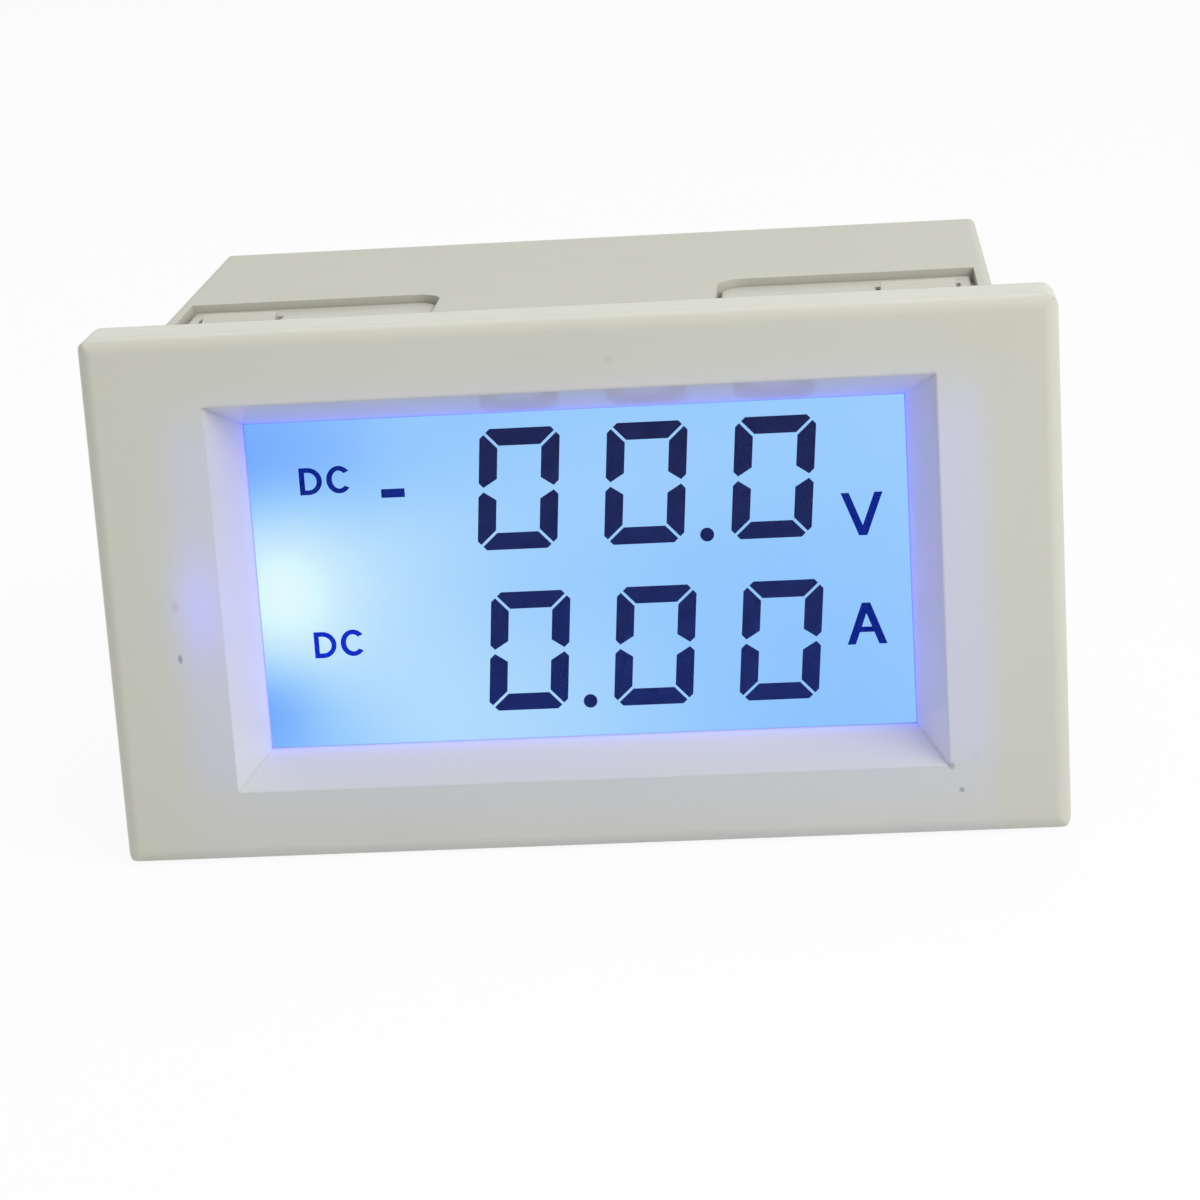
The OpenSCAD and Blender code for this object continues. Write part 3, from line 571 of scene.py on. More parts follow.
@dataclass(frozen=True)
class ClearSheet(Finish):
    """A clear sheet that light passes straight through, with a faint gloss.

    Attributes:
        tint: Colour of what comes through.
        shine: Share of light mirrored by a surface met head on.
        roughness: Roughness of its gloss.
        side_shine: Share of light mirrored by a surface met from its side.
    """

    tint: Colour = WHITE
    shine: float = 0.005
    roughness: float = 0.08
    side_shine: float = 0.6

    def shader(self, mix: Recipe) -> Socket:
        """Returns its shader."""
        slant = mix.maths("MULTIPLY", mix.maths("POWER", mix.slant(), 4.0), self.side_shine)
        share = mix.maths("ADD", slant, self.shine, clamp=True)
        rough = mix.spread(mix.noise(5, 3), 0.35, 0.7, self.roughness, self.roughness + 0.08)
        clear = mix.add("BsdfTransparent", {"Color": self.tint}).outputs[0]
        gloss = mix.add("BsdfGlossy", {"Color": WHITE, "Roughness": rough}).outputs[0]
        return mix.add("MixShader", {0: share, 1: clear, 2: gloss}).outputs[0]


@dataclass(frozen=True)
class Pool:
    """A soft pool of light or shade on the lit film.

    Attributes:
        level: Light that it adds, where 1 is full; less than 0 is shade.
        place: X and Z of its middle.
        size: Its reach along X and Z.
    """

    level: float
    place: Point2
    size: Point2


@dataclass(frozen=True)
class LitFilm(Finish):
    """Film lit from behind by one lamp at its left edge.

    Attributes:
        even: Light that it has everywhere.
        slopes: Light gained for each metre to the right and upwards.
        pools: Pools of light and shade that the lamp and the guide leave on it.
        cloud: Unevenness of its light.
        stops: Colour at each level of light.
        strength: How strongly the film shines.
        sideways: Colour that it shows from the side.
    """

    even: float = 0.523
    slopes: Point2 = (2.28, 1.65)
    pools: tuple[Pool, ...] = (
        Pool(0.353, (-26.3, -2.3), (7.7, 9.5)),
        Pool(0.067, (-14.8, -2.9), (6.5, 20.0)),
        Pool(-0.587, (-31.0, 9.0), (23.2, 6.3)),
        Pool(-0.163, (-27.2, -10.7), (4.9, 4.3)),
        Pool(0.186, (-8.4, -16.0), (17.5, 17.3)),
        Pool(0.504, (-31.0, 8.7), (28.7, 7.2)))
    cloud: float = 0.015
    stops: tuple[tuple[float, Colour], ...] = (
        (0.35, srgb(89, 140, 246)), (0.435, srgb(111, 165, 252)), (0.514, srgb(131, 185, 254)),
        (0.58, srgb(148, 200, 254)), (0.627, srgb(160, 208, 254)), (0.725, srgb(185, 225, 254)),
        (0.8, srgb(204, 236, 254)), (0.84, srgb(214, 247, 254)), (0.93, srgb(238, 254, 255)))
    strength: float = 1.0
    sideways: Colour = (0.03, 0.07, 0.7)

    def level(self, mix: Recipe) -> Socket:
        """Returns the level of light."""
        slope = (self.slopes[0], 0.0, self.slopes[1])
        total = mix.maths("ADD", mix.vector("DOT_PRODUCT", mix.place, slope), self.even)
        for pool in self.pools:
            (x, z), (wide, high) = pool.place, pool.size
            spot = mix.spot((x, 2.0, z), (wide, 1000.0, high))
            sockets = {0: spot, 1: pool.level, 2: total}
            total = mix.add("Math", sockets, operation="MULTIPLY_ADD").outputs[0]
        cloud = mix.maths("MULTIPLY", mix.maths("SUBTRACT", mix.noise(4, 3), 0.5), self.cloud)
        return mix.maths("ADD", total, cloud, clamp=True)

    def shader(self, mix: Recipe) -> Socket:
        """Returns its shader."""
        colour = mix.ramp(self.level(mix), self.stops)
        slant = mix.spread(mix.slant(), 0.12, 0.6, 0.0, 1.0)
        return mix.principled(Base_Color=(0.02, 0.02, 0.02), Roughness=0.6, Specular_IOR_Level=0.1,
                              Emission_Color=mix.blend(slant, colour, self.sideways),
                              Emission_Strength=self.strength)


@dataclass(frozen=True)
class DarkInk(Finish):
    """The dark of a driven liquid crystal segment, with a painted glow for the backlight left in it.

    Attributes:
        colour: Its colour in linear light.
        foot: Colour of the backlight that is left at the foot of the display.
        head: Its colour at the head of the display.
        left: Its colour in the left part, nearer to the lamp.
        reach: Distance from the middle at which the foot, the head and the left part are.
    """

    colour: Colour
    foot: Colour
    head: Colour
    left: Colour
    reach: float = 12

    def shader(self, mix: Recipe) -> Socket:
        """Returns its shader."""
        cloud = mix.noise(1.2, 3)
        colour = mix.ramp(cloud, [(0.3, scaled(self.colour, 0.8)), (0.7, self.colour)])
        # Painted glow: the ink emits in place of the backlight left in it, changing from foot to head and at
        # the left.
        leak = mix.blend(mix.fade("Z", -self.reach, self.reach, 0.0, 1.0), self.foot, self.head)
        leak = mix.blend(mix.maths("LESS_THAN", mix.along("X"), -self.reach * MM), leak, self.left)
        return mix.principled(Base_Color=colour, Roughness=0.8, Specular_IOR_Level=0.05,
                              Emission_Color=leak,
                              Emission_Strength=mix.spread(cloud, 0.3, 0.7, 0.85, 1.15))


@dataclass(frozen=True)
class PlatedMetal(Finish):
    """Plated or bare metal with drawing marks, a slightly clouded plating and painted shade in its corners.

    Attributes:
        colour: Its colour in linear light.
        dull_and_shade: Colour of its duller patches, also the base of the painted shade in its corners.
        roughness: Lowest roughness.
        marks: Size of its marks along each axis, in millimetres.
    """

    colour: Colour
    dull_and_shade: Colour
    roughness: float = 0.24
    marks: Point3 = (0.3, 0.3, 0.3)

    def shader(self, mix: Recipe) -> Socket:
        """Returns its shader."""
        cloud = mix.noise(1.6, 4)
        colour = mix.blend(mix.spread(cloud, 0.4, 0.7, 0.0, 1.0), self.colour, self.dull_and_shade)
        # Painted shade: the colour darkens towards a third of the dull colour in corners, by the occlusion
        # mask.
        corner = mix.spread(mix.openness(0.6, 6), 0.2, 0.9, 0.5, 0.0)
        colour = mix.blend(corner, colour, scaled(self.dull_and_shade, 0.3))
        rough = mix.spread(cloud, 0.3, 0.75, self.roughness, self.roughness + 0.18)
        scratch = mix.noise(1.0, 4, [1 / m for m in self.marks])
        return mix.principled(Base_Color=colour, Metallic=1.0, Roughness=rough,
                              Normal=mix.bump(scratch, 0.006, mix.rounded(SMALL_EDGE)))


@dataclass(frozen=True)
class Look:
    """One part of a component's finish: its colour, whether it is metal, and its roughness."""

    colour: Colour
    metal: float = 0.0
    roughness: float = 0.3


@dataclass(frozen=True)
class Layered(Finish):
    """Finish of a component whose regions look different.

    Attributes:
        base: Look outside every region.
        regions: Boxes, each with two corners in millimetres and its look.
        depth: Depth of its surface's unevenness in millimetres.
        shine: Colour and strength of light that the component gives, if it does.
    """

    base: Look
    regions: tuple[tuple[Sequence[float], Sequence[float], Look], ...] = ()
    depth: float = 0.01
    shine: tuple[Colour, float] = (WHITE, 0.0)

    def shader(self, mix: Recipe) -> Socket:
        """Returns its shader."""
        grain = mix.noise(0.8, 3)
        colour: Any = self.base.colour
        metal: Any = self.base.metal
        rough: Any = self.base.roughness
        for low, high, look in self.regions:
            here = mix.inside(low, high)
            colour = mix.blend(here, colour, look.colour)
            metal = mix.spread(here, 0.0, 1.0, metal, look.metal)
            rough = mix.spread(here, 0.0, 1.0, rough, look.roughness)
        uneven = mix.spread(grain, 0.3, 0.7, 0.0, 0.12)
        colour = mix.blend(uneven, colour, (0.25, 0.25, 0.25))
        rough = mix.maths("ADD", rough, uneven)
        return mix.principled(Base_Color=colour, Metallic=metal, Roughness=rough,
                              Normal=mix.bump(grain, self.depth, mix.rounded(SMALL_EDGE)),
                              Emission_Color=self.shine[0], Emission_Strength=self.shine[1])


@dataclass(frozen=True)
class SolderMask(Finish):
    """Circuit board with a glossy mask over its tracks, and bare laminate at its edges."""

    mask: Colour = (0.025, 0.14, 0.06)
    track: Colour = (0.05, 0.25, 0.10)
    laminate: Colour = (0.42, 0.38, 0.20)
    pitch: float = 1.27

    def shader(self, mix: Recipe) -> Socket:
        """Returns its shader."""
        wander = mix.add("TexNoise", {"Vector": mix.place, "Scale": 60.0}).outputs["Color"]
        bent = mix.blend(0.1, mix.place, wander)
        turned = mix.add("Mapping", {"Vector": bent, "Rotation": (math.pi / 2, 0.0, 0.0)}).outputs[0]
        bricks = {"Vector": turned, "Scale": 1.0, "Mortar Size": 0.2 * MM, "Mortar Smooth": 0.1,
                  "Brick Width": 11 * MM, "Row Height": self.pitch * MM}
        tracks = mix.add("TexBrick", bricks).outputs["Fac"]
        mask = mix.ramp(mix.noise(8, 3), [(0.3, self.mask), (0.7, scaled(self.mask, 1.25))])
        colour = mix.blend(tracks, mask, self.track)
        facing = mix.add("SeparateXYZ", {0: mix.add("TexCoord").outputs["Normal"]}).outputs["Y"]
        edge = mix.maths("LESS_THAN", mix.maths("ABSOLUTE", facing), 0.5)
        bare = [(0.3, scaled(self.laminate, 0.7)), (0.7, self.laminate)]
        weave = mix.ramp(mix.noise(0.5, 2, (1, 4, 1)), bare)
        gloss = mix.spread(mix.noise(3, 2), 0.3, 0.7, 0.2, 0.36)
        rough = mix.spread(edge, 0.0, 1.0, gloss, 0.7)
        return mix.principled(Base_Color=mix.blend(edge, colour, weave), Roughness=rough,
                              Normal=mix.bump(tracks, 0.03), Coat_Weight=0.3, Coat_Roughness=0.15)


BLACK = Look((0.02, 0.02, 0.022), roughness=0.45)
TINNED = Look((0.70, 0.70, 0.68), 1.0, 0.3)
ALUMINIUM = Look((0.75, 0.75, 0.76), 1.0, 0.35)


# ---- sub-assemblies


@dataclass
class Shell:
    """The two white mouldings: the bezel with its window and the tub behind it."""

    white: Colour = (0.587, 0.587, 0.502)
    tub_share: float = 0.88
    specks: tuple[Speck, ...] = (
        Speck((-33.36, -0.09), (0.33, 0.42), 0.13, (0.20, 0.07, 0.12)),
        Speck((-33.35, -4.59), (0.18, 0.38), 0.5, (0.03, 0.08, 0.09)),
        Speck((29.79, -16.47), (0.26, 0.28), 0.38, (0.06, 0.05, 0.03)),
        Speck((30.55, -18.57), (0.22, 0.22), 0.45, (0.05, 0.05, 0.03)),
        Speck((3.54, 18.94), (0.33, 0.3), 0.08, (0.20, 0.15, 0.05)),
        Speck((31.85, -15.53), (0.25, 0.25), 0.05, (0.1, 0.1, 0.1)))

    def build(self) -> None:
        """Dresses both mouldings."""
        bezel = BezelPlastic("white_plastic_lit", self.white, roughness=0.3, edge=0.4, specks=self.specks)
        dress(bezel, "front_bezel")
        tub = MouldedPlastic("white_plastic", scaled(self.white, self.tub_share), roughness=0.5, gloss=0.35)
        dress(tub, "rear_housing")


@dataclass(frozen=True)
class Letter:
    """Place and size of one letter of the display.

    Attributes:
        left: Its left edge.
        foot: Its lower edge.
        width: Its width.
        height: Its height.
        stroke: Width of its strokes, measured level.
        bar: Height of its level strokes.
    """

    left: float
    foot: float
    width: float
    height: float
    stroke: float
    bar: float = 0.38


class Shape(Enum):
    """The letters that the display can show, each with the way to draw it."""

    A = "two slanting strokes and a crossbar"
    C = "an open ring"
    D = "a stem and a bowl"
    V = "two slanting strokes"

    def outlines(self, size: Letter) -> list[list[Point2]]:
        """Returns the closed outlines of this letter."""
        drawings = {Shape.A: self.draw_a, Shape.C: self.draw_c, Shape.D: self.draw_d, Shape.V: self.draw_v}
        return drawings[self](size)

    @staticmethod
    def draw_d(size: Letter) -> list[list[Point2]]:
        """Returns the outline of a D and of its hole."""
        x0, z0, h = size.left, size.foot, size.height
        bend = 0.62 * size.width
        middle = (x0 + size.width - bend, z0 + h / 2)
        outer = [(x0, z0)] + arc(middle, (bend, h / 2), -90, 90) + [(x0, z0 + h)]
        bowl = arc(middle, (bend - size.stroke, h / 2 - size.bar), -90, 90)
        stem = x0 + size.stroke
        return [outer, ([(stem, z0 + size.bar)] + bowl + [(stem, z0 + h - size.bar)])[::-1]]

    @staticmethod
    def draw_c(size: Letter) -> list[list[Point2]]:
        """Returns the outline of a C."""
        w, h = size.width, size.height
        middle = (size.left + w / 2, size.foot + h / 2)
        outer = arc(middle, (w / 2, h / 2), 38, 322, 28)
        inner = arc(middle, (w / 2 - size.stroke, h / 2 - size.bar), 316, 44, 28)
        return [outer + inner]

    @staticmethod
    def draw_v(size: Letter) -> list[list[Point2]]:
        """Returns the outline of a V."""
        return [[(x, 2 * size.foot + size.height - z) for x, z in Shape.slants(size)]]

    @staticmethod
    def draw_a(size: Letter) -> list[list[Point2]]:
        """Returns the outline of an A and of its hole."""
        z0, h = size.foot, size.height
        left_foot, tip0, tip1, right_foot, right_in, crotch, left_in = Shape.slants(size)
        lean = (crotch[0] - left_in[0]) / (crotch[1] - left_in[1])
        low, high = z0 + 0.295 * h, z0 + 0.295 * h + size.bar
        side = [left_in[0] + lean * (z - z0) for z in (low, high)]
        middle = 2 * crotch[0]
        bar = [(middle - side[0], low), (side[0], low)]
        outer = [left_foot, tip0, tip1, right_foot, right_in, *bar, left_in]
        return [outer, [(side[1], high), (middle - side[1], high), crotch]]

    @staticmethod
    def slants(size: Letter) -> list[Point2]:
        """Returns the outline of two strokes that meet at the top, from the left foot round."""
        x0, z0, w, h, s = size.left, size.foot, size.width, size.height, size.stroke
        mid = x0 + w / 2
        half_tip = 0.52 * s
        lean = (w / 2 - half_tip) / h
        crotch = z0 + (mid - x0 - s) / lean
        return [(x0, z0), (mid - half_tip, z0 + h), (mid + half_tip, z0 + h), (x0 + w, z0),
                (x0 + w - s, z0), (mid, crotch), (x0 + s, z0)]


@dataclass
class Display:
    """The liquid crystal cell, its symbols and the backlight behind it.

    Attributes:
        navy: Colour of a driven segment.
        deep: Light left in the letters.
        bright: Light left in the letters next to the lamp.
        leak: Light left in the segments, at their foot, at their head and at the left.
        words: Each piece of lettering with its ink and its letters.
    """

    navy: Colour = (0.004, 0.005, 0.012)
    deep: Colour = (0.0, 0.012, 0.24)
    bright: Colour = (0.0, 0.02, 0.55)
    leak: tuple[Colour, Colour, Colour] = ((0.006, 0.016, 0.125), (0.009, 0.014, 0.074), (0.002, 0.014, 0.2))
    words: tuple[tuple[str, str, tuple[tuple[Shape, Letter], ...]], ...] = (
        ("legend_dc_volts", "deep", ((Shape.D, Letter(-23.13, 7.46, 1.88, 2.29, 0.43)),
                                     (Shape.C, Letter(-20.87, 7.5, 2.1, 2.32, 0.46)))),
        ("legend_dc_amps", "blue", ((Shape.D, Letter(-23.05, -6.70, 1.86, 2.26, 0.40)),
                                    (Shape.C, Letter(-20.81, -6.62, 2.1, 2.29, 0.44)))),
        ("legend_volts", "deep", ((Shape.V, Letter(21.62, 1.95, 3.43, 3.62, 0.66)),)),
        ("legend_amps", "deep", ((Shape.A, Letter(21.68, -7.43, 3.30, 3.56, 0.67, 0.43)),)))

    def build(self) -> None:
        """Dresses the cell and the backlight, and adds the letters."""
        # Painted glow: the rear polariser emits the backlight too, in place of the lit diffuser behind it.
        dress(LitFilm("lit_film"), "rear_polariser", "diffuser_film")
        dress(ClearSheet("polarising_film", shine=0.004, roughness=0.22), "front_polariser")
        dress(ClearSheet("cell_glass", shine=0.001), "front_glass", "rear_glass")
        dress(ClearSheet("clear_acrylic", (0.85, 0.93, 1.0), 0.03), "light_guide")
        dress(MouldedPlastic("cell_seal", (0.07, 0.075, 0.09), 0.6), "cell_seal")
        dress(MouldedPlastic("reflector", (0.8, 0.8, 0.8), 0.3, depth=0.002), "reflector_film")
        self.dress_lamp()
        dress(DarkInk("dark_segments", self.navy, *self.leak), "display_segments")
        self.add_letters()

    def dress_lamp(self) -> None:
        """Gives the lamp a white body and a lens that shines."""
        low, high = box_mm("backlight_led")
        lens = ((high[0] - 0.65, low[1], low[2]), tuple(high), Look((0.9, 0.85, 0.4), roughness=0.15))
        body = Layered("lamp_body", Look((0.75, 0.76, 0.7)), (lens,), shine=((0.5, 0.7, 1.0), 0.3))
        dress(body, "backlight_led")

    def add_letters(self) -> None:
        """Adds each word of the display as one thin piece in the segments' layer."""
        low, high = box_mm("display_segments")
        inks = {name: DarkInk(name + "_letters", self.navy, light, light, light)
                for name, light in (("deep", self.deep), ("blue", self.bright))}
        for name, ink, letters in self.words:
            outlines = [line for shape, size in letters for line in shape.outlines(size)]
            mesh = flat_outline_mesh(name, outlines, low[1], high[1])
            add_piece(name, mesh, inks[ink], METER)


@dataclass
class Electronics:
    """The two circuit boards and everything soldered to them.

    Attributes:
        chip_reach: Each chip with how far its leads stand out, along X and Z.
        solder_radius: Radius of a solder joint.
        solder_height: Height of a solder joint.
        solder_form: Rings of a solder joint, each with its share of the radius and of the height.
        bands: Place and colour of each ring on a resistor.
    """

    chip_reach: tuple[tuple[str, Point2], ...] = (
        ("meter_chip", (1.05, 1.05)), ("amplifier_chip", (0.0, 1.08)))
    solder_radius: float = 0.85
    solder_height: float = 0.55
    solder_form: tuple[Point2, ...] = ((1, 0.0), (0.8, 0.16), (0.55, 0.45), (0.4, 0.8), (0.28, 1), (0.0, 1))
    bands: tuple[tuple[float, Colour], ...] = (
        (-2.2, (0.20, 0.07, 0.02)), (-1.1, (0.01, 0.01, 0.01)),
        (0.0, (0.5, 0.03, 0.02)), (2.1, (0.20, 0.07, 0.02)))

    def build(self) -> None:
        """Dresses the boards and their components, and adds the solder."""
        dress(SolderMask("circuit_board"), "display_board", "power_board")
        dress(MouldedPlastic("black_plastic", BLACK.colour, 0.5), "header_bases", "header_sockets")
        dress(PlatedMetal("tinned_metal", (0.72, 0.72, 0.70), (0.55, 0.55, 0.53)), "display_pins")
        dress(PlatedMetal("gold_pins", (0.78, 0.58, 0.24), (0.6, 0.45, 0.2)), "header_pins")
        self.dress_chips()
        self.dress_cans()
        self.dress_small_parts()
        self.add_solder()

    def dress_chips(self) -> None:
        """Gives each chip a black body and tinned leads."""
        for name, (reach_x, reach_z) in self.chip_reach:
            low, high = box_mm(name)
            inset = Vector((reach_x, -1, reach_z))
            body = (tuple(low + inset), tuple(high - inset), BLACK)
            dress(Layered(name + "_finish", TINNED, (body,)), name)

    def dress_cans(self) -> None:
        """Gives each electrolytic capacitor a sleeve with a pale stripe and a bare end."""
        sleeve = Look((0.015, 0.02, 0.075), roughness=0.25)
        pale = Look((0.45, 0.48, 0.55), roughness=0.25)
        for name in ("supply_capacitor", "output_capacitor"):
            low, high = box_mm(name)
            middle = (low + high) / 2
            radius = (high[0] - low[0]) / 2
            stripe = ((middle[0] - 0.45 * radius, low[1] + 1.2, middle[2] + 0.5 * radius),
                      (middle[0] + 0.45 * radius, high[1], high[2] + 1), pale)
            end = ((middle[0] - 0.86 * radius, low[1] - 1, middle[2] - 0.86 * radius),
                   (middle[0] + 0.86 * radius, low[1] + 0.45, middle[2] + 0.86 * radius), ALUMINIUM)
            dress(Layered(name + "_finish", sleeve, (stripe, end), depth=0.004), name)

    def dress_small_parts(self) -> None:
        """Dresses the resistors, the diode, the regulator and the film capacitor."""
        rings = [(x - 0.28, x + 0.28, Look(colour)) for x, colour in self.bands]
        for name, finish, parts in (
                ("divider_resistors", "resistor_paint", [(-3.16, 3.16, Look((0.10, 0.26, 0.45))), *rings]),
                ("supply_diode", "diode_finish",
                 [(-2.62, 2.62, BLACK), (1.4, 2.1, Look((0.6, 0.6, 0.6), 0.6, 0.35))])):
            low, high = box_mm(name)
            middle = (low[0] + high[0]) / 2
            regions = tuple(((middle + left, 0, -FAR), (middle + right, FAR, FAR), look)
                            for left, right, look in parts)
            dress(Layered(finish, TINNED, regions), name)
        board = box_mm("power_board")[0][1]
        red = Look((0.33, 0.025, 0.02))
        for name, look, gap in (("regulator", BLACK, 2.0), ("film_capacitor", red, 0.0)):
            body = ((-FAR, 0, -FAR), (FAR, board - gap + 0.02, FAR), look)
            dress(Layered(name + "_finish", TINNED, (body,)), name)

    def lead_ends(self, node: str, y: float) -> list[Point2]:
        """Returns the middle of each lead of a node that ends at depth y."""
        ends: list[list[Vector]] = []
        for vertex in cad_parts[node].data.vertices:
            spot = vertex.co / MM
            if abs(spot[1] - y) > 0.02:
                continue
            for group in ends:
                if (group[0] - spot).length < 1.0:
                    group.append(spot)
                    break
            else:
                ends.append([spot])
        return [tuple(sum(v[i] for v in group) / len(group) for i in (0, 2)) for group in ends]

    def add_solder(self) -> None:
        """Adds the joints at the rear faces of both boards."""
        solder = PlatedMetal("solder", (0.62, 0.62, 0.61), (0.48, 0.48, 0.48), 0.3)
        profile = [(r * self.solder_radius, y * self.solder_height) for r, y in self.solder_form]
        leads = {"display_board": ("display_pins",),
                 "power_board": ("supply_capacitor", "output_capacitor", "film_capacitor", "regulator",
                                 "divider_resistors", "supply_diode", "header_pins")}
        for board, nodes in leads.items():
            rear = box_mm(board)[1][1]
            work = bmesh.new()
            for node in nodes:
                for x, z in self.lead_ends(node, box_mm(node)[1][1]):
                    spun(work, profile, (x, rear, z), 12)
            mesh = mesh_from(board + "_solder", work, 60)
            add_piece(board + "_solder", mesh, solder, METER)


@dataclass
class TerminalScrew:
    """One terminal screw: the frame's head with a cut thread below it.

    Attributes:
        number: Its place in the row, from 1.
        head_height: Height of the head.
        pitch: Pitch of the thread.
        crest: Radius of the thread.
        core: Share of that radius that the core has.
        steps: Steps in each turn of the thread.
    """

    number: int
    head_height: float = 2.1
    pitch: float = 0.5
    crest: float = 1.5
    core: float = 0.8
    steps: int = 24

    def head(self) -> Work:
        """Returns the head as it is in the frame, closed below."""
        node = f"terminal_screw_{self.number}"
        work = bmesh.new()
        work.from_mesh(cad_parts[node].data)
        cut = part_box(node)[1][1] - self.head_height * MM + 0.00001
        whole = work.verts[:] + work.edges[:] + work.faces[:]
        made = bmesh.ops.bisect_plane(
            work, geom=whole, plane_co=(0, cut, 0), plane_no=(0, 1, 0), clear_inner=True)
        rim = [e for e in made["geom_cut"] if isinstance(e, bmesh.types.BMEdge)]
        bmesh.ops.contextual_create(work, geom=rim)
        return work

    def add_thread(self, work: Work) -> None:
        """Adds the core and the helical ridge round it."""
        low, high = box_mm(f"terminal_screw_{self.number}")
        x, z = (low[0] + high[0]) / 2, (low[2] + high[2]) / 2
        top, tip = high[1] - self.head_height + 0.05, low[1]
        core = self.core * self.crest
        spun(work, [(core - 0.35, tip), (core, tip + 0.4), (core, top)], (x, 0.0, z), self.steps)
        count = int((top - tip - 0.6) / self.pitch * self.steps)
        rings = []
        for i in range(count + 1):
            turn = 2 * math.pi * i / self.steps
            y = tip + 0.3 + self.pitch * i / self.steps
            fade = min(1.0, i / self.steps, (count - i) / self.steps)
            peak = core + (self.crest - core) * fade
            shape = [(core - 0.05, -0.44), (peak, -0.06), (peak, 0.06), (core - 0.05, 0.44)]
            spots = [(x + r * math.cos(turn), y + self.pitch * s, z - r * math.sin(turn)) for r, s in shape]
            rings.append([work.verts.new(Vector(spot) * MM) for spot in spots])
        for near, far in zip(rings, rings[1:]):
            for k in range(4):
                work.faces.new([near[k], near[(k + 1) % 4], far[(k + 1) % 4], far[k]])
        work.faces.new(rings[0])
        work.faces.new(rings[-1])

    def build(self, finish: Finish) -> None:
        """Makes the screw with its finish and lets it stand for the frame's one."""
        work = self.head()
        self.add_thread(work)
        name = f"threaded_screw_{self.number}"
        piece = add_piece(name, mesh_from(name, work, 30), finish, f"screw_{self.number}")
        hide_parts(f"terminal_screw_{self.number}")


@dataclass
class Terminals:
    """The terminal block with its screws, washers and contact plates."""

    count: int = 4

    def build(self) -> None:
        """Dresses the terminal block and its metal, and threads the screws."""
        dress(MouldedPlastic("terminal_plastic", (0.02, 0.02, 0.022), 0.48), "terminal_block")
        zinc = PlatedMetal("zinc_steel", (0.66, 0.67, 0.68), (0.5, 0.5, 0.5), 0.26)
        dress(PlatedMetal("brass_plate", (0.72, 0.66, 0.48), (0.6, 0.52, 0.34)), "contact_plates")
        dress(zinc, "board_screws")
        for i in range(1, self.count + 1):
            dress(zinc, f"clamp_washer_{i}")
            TerminalScrew(i).build(zinc)


@dataclass
class Trimmers:
    """The two adjusters behind their holes in the rear wall."""

    def build(self) -> None:
        """Dresses the trimmers."""
        pale = MouldedPlastic("pale_plastic", (0.68, 0.64, 0.52), 0.45)
        board = box_mm("power_board")[1][1]
        body = ((-FAR, board - 0.01, -FAR), (FAR, FAR, FAR), Look((0.015, 0.08, 0.40), roughness=0.35))
        blue = Layered("blue_plastic", TINNED, (body,))
        for name in ("volts", "amps"):
            dress(blue, f"trimmer_body_{name}")
            dress(pale, f"trimmer_rotor_{name}")


# ---- studio


@dataclass(frozen=True)
class Lamp:
    """One soft lamp, which points at the middle of the meter.

    Attributes:
        name: Its name.
        place: Where it stands, in metres.
        size: Width of its square face, in metres.
        power: Its power in watts.
        colour: Its colour.
    """

    name: str
    place: tuple[float, float, float]
    size: float
    power: float
    colour: Colour = WHITE


@dataclass(frozen=True)
class PaleFloor(Finish):
    """Matt pale floor, mostly pure white where it is seen."""

    white: float = 0.92

    def shader(self, mix: Recipe) -> Socket:
        """Returns its shader."""
        tone = mix.ramp(mix.noise(120, 3), [(0.3, (0.86, 0.86, 0.86)), (0.7, (0.9, 0.9, 0.9))])
        matt = mix.add("BsdfDiffuse", {"Color": tone}).outputs[0]
        pure = mix.add("Emission", {"Color": WHITE, "Strength": 1.0}).outputs[0]
        share = mix.maths("MULTIPLY", mix.seen_rays(), self.white)
        return mix.add("MixShader", {0: share, 1: matt, 2: pure}).outputs[0]


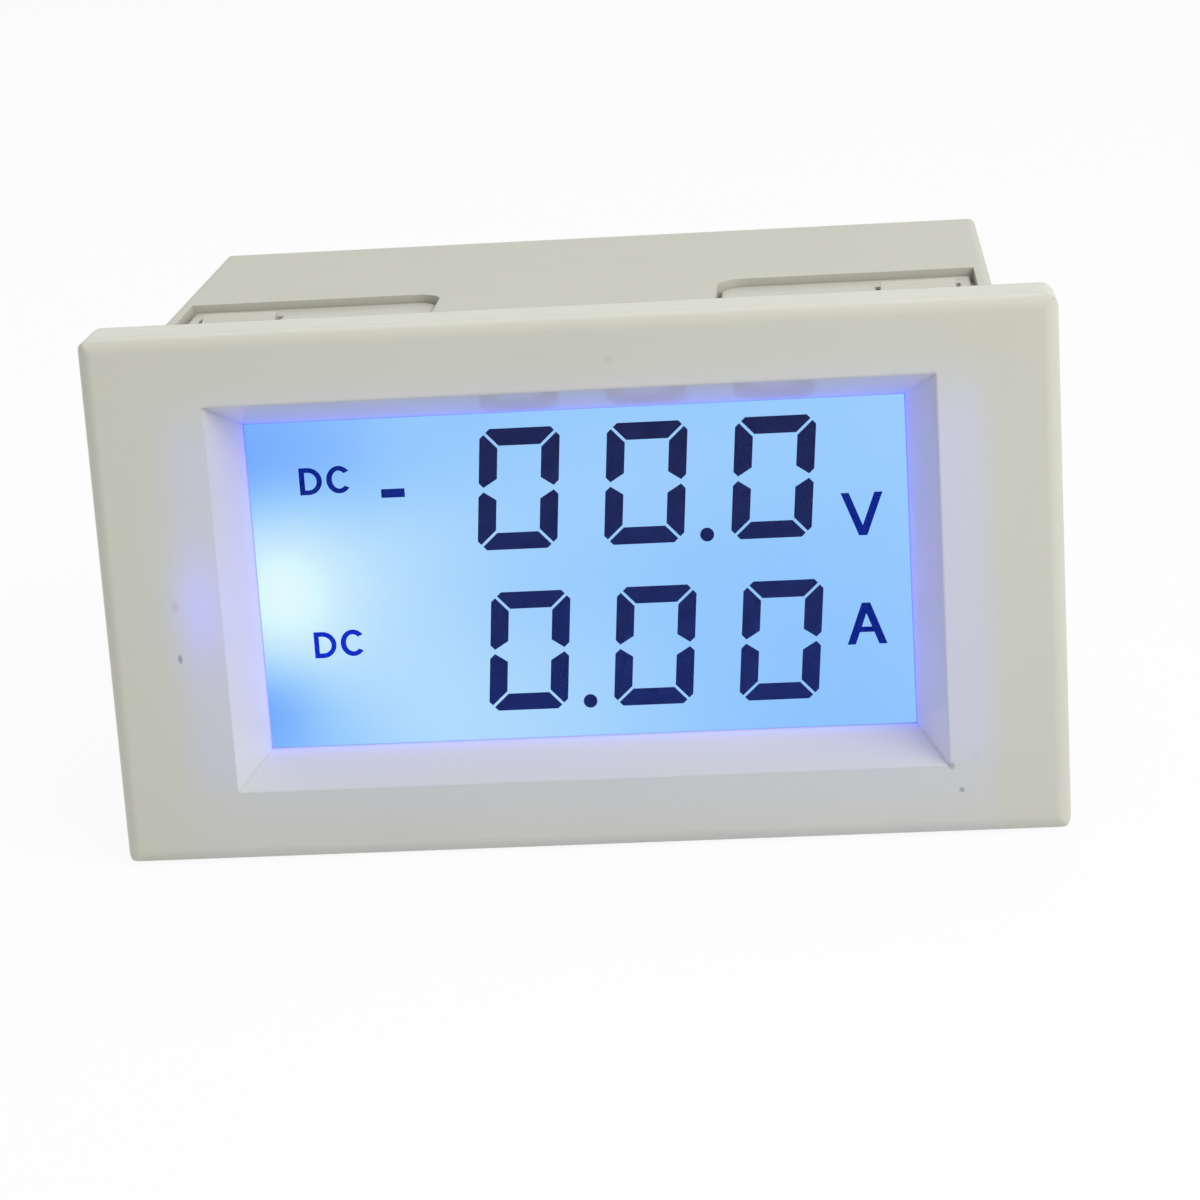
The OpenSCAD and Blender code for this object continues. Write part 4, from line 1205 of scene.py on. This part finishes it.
@dataclass
class Studio:
    """The floor, the lamps, the even light from all round and the camera, in metres and degrees."""

    eye: tuple[float, float, float] = (0.02202, -0.27231, 0.07367)
    aim: tuple[float, float, float] = (0.0013, 0.0, -0.00244)
    roll: float = -3.608
    lens: float = 102.26
    floor_size: float = 8.0
    room_light: float = 0.38
    lamps: tuple[Lamp, ...] = (
        Lamp("key_lamp", (0.297, -0.218, 0.294), 0.36, 1.5),
        Lamp("top_lamp", (0.0, 0.2, 0.67), 0.6, 1.5),
        Lamp("fill_lamp", (-0.7, -0.5, 0.3), 0.8, 0.8))

    def build(self) -> None:
        """Sets up the whole studio."""
        self.add_floor()
        self.light_room()
        for lamp in self.lamps:
            self.add_lamp(lamp)
        self.add_camera()
        bpy.context.scene.view_settings.view_transform = "Standard"

    def floor_tilt(self) -> tuple[float, float]:
        """Returns the floor's height under the bezel and its slope towards the rear.

        The meter rests on the bezel's lower edge and on the rear edge of the tub.
        """
        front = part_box("front_bezel")[0]
        tub_low, tub_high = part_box("rear_housing")
        return front[2], (tub_low[2] - front[2]) / tub_high[1]

    def add_floor(self) -> None:
        """Lays a pale floor that touches the meter where it rests."""
        height, slope = self.floor_tilt()
        mesh = bpy.data.meshes.new("floor")
        half = self.floor_size / 2
        signs = ((-1, -1), (1, -1), (1, 1), (-1, 1))
        corners = [(x * half, y * half, height + slope * y * half) for x, y in signs]
        mesh.from_pydata(corners, [], [(0, 1, 2, 3)])
        mesh.materials.append(PaleFloor("pale_floor").material())
        placed("floor", mesh)

    def light_room(self) -> None:
        """Gives a white background and an even light from all round."""
        world = bpy.data.worlds.new("studio")
        bpy.context.scene.world = world
        world.use_nodes = True
        nodes = Nodes(world.node_tree)
        level = nodes.spread(nodes.seen_rays(), 0.0, 1.0, self.room_light, 1.0)
        shine = nodes.add("Background", {"Color": WHITE, "Strength": level}).outputs[0]
        nodes.add("OutputWorld", {"Surface": shine})

    @staticmethod
    def add_lamp(lamp: Lamp) -> None:
        """Adds one lamp."""
        data = bpy.data.lights.new(lamp.name, "AREA")
        data.size = lamp.size
        data.energy = lamp.power
        data.color = lamp.colour
        thing = placed(lamp.name, data)
        thing.location = lamp.place
        thing.rotation_euler = Vector(lamp.place).to_track_quat("Z", "Y").to_euler()

    def add_camera(self) -> None:
        """Adds the camera at eye, turned to aim and rolled."""
        data = bpy.data.cameras.new("camera")
        data.lens = self.lens
        data.clip_start = 0.01
        camera = placed("camera", data)
        ahead = (Vector(self.aim) - Vector(self.eye)).normalized()
        level = ahead.cross(Vector((0, 0, 1))).normalized()
        right = Matrix.Rotation(math.radians(-self.roll), 3, ahead) @ level
        up = right.cross(ahead)
        turn = Matrix((right, up, -ahead)).transposed()
        camera.matrix_world = Matrix.Translation(self.eye) @ turn.to_4x4()
        bpy.context.scene.camera = camera


def main() -> None:
    """Builds everything in order and logs the name of each assembly."""
    logging.basicConfig(level=logging.INFO, format="%(message)s")
    Studio().build()
    for assembly in (Shell(), Display(), Electronics(), Terminals(), Trimmers()):
        LOG.info("%s", type(assembly).__name__)
        assembly.build()


if __name__ == "__main__":
    main()
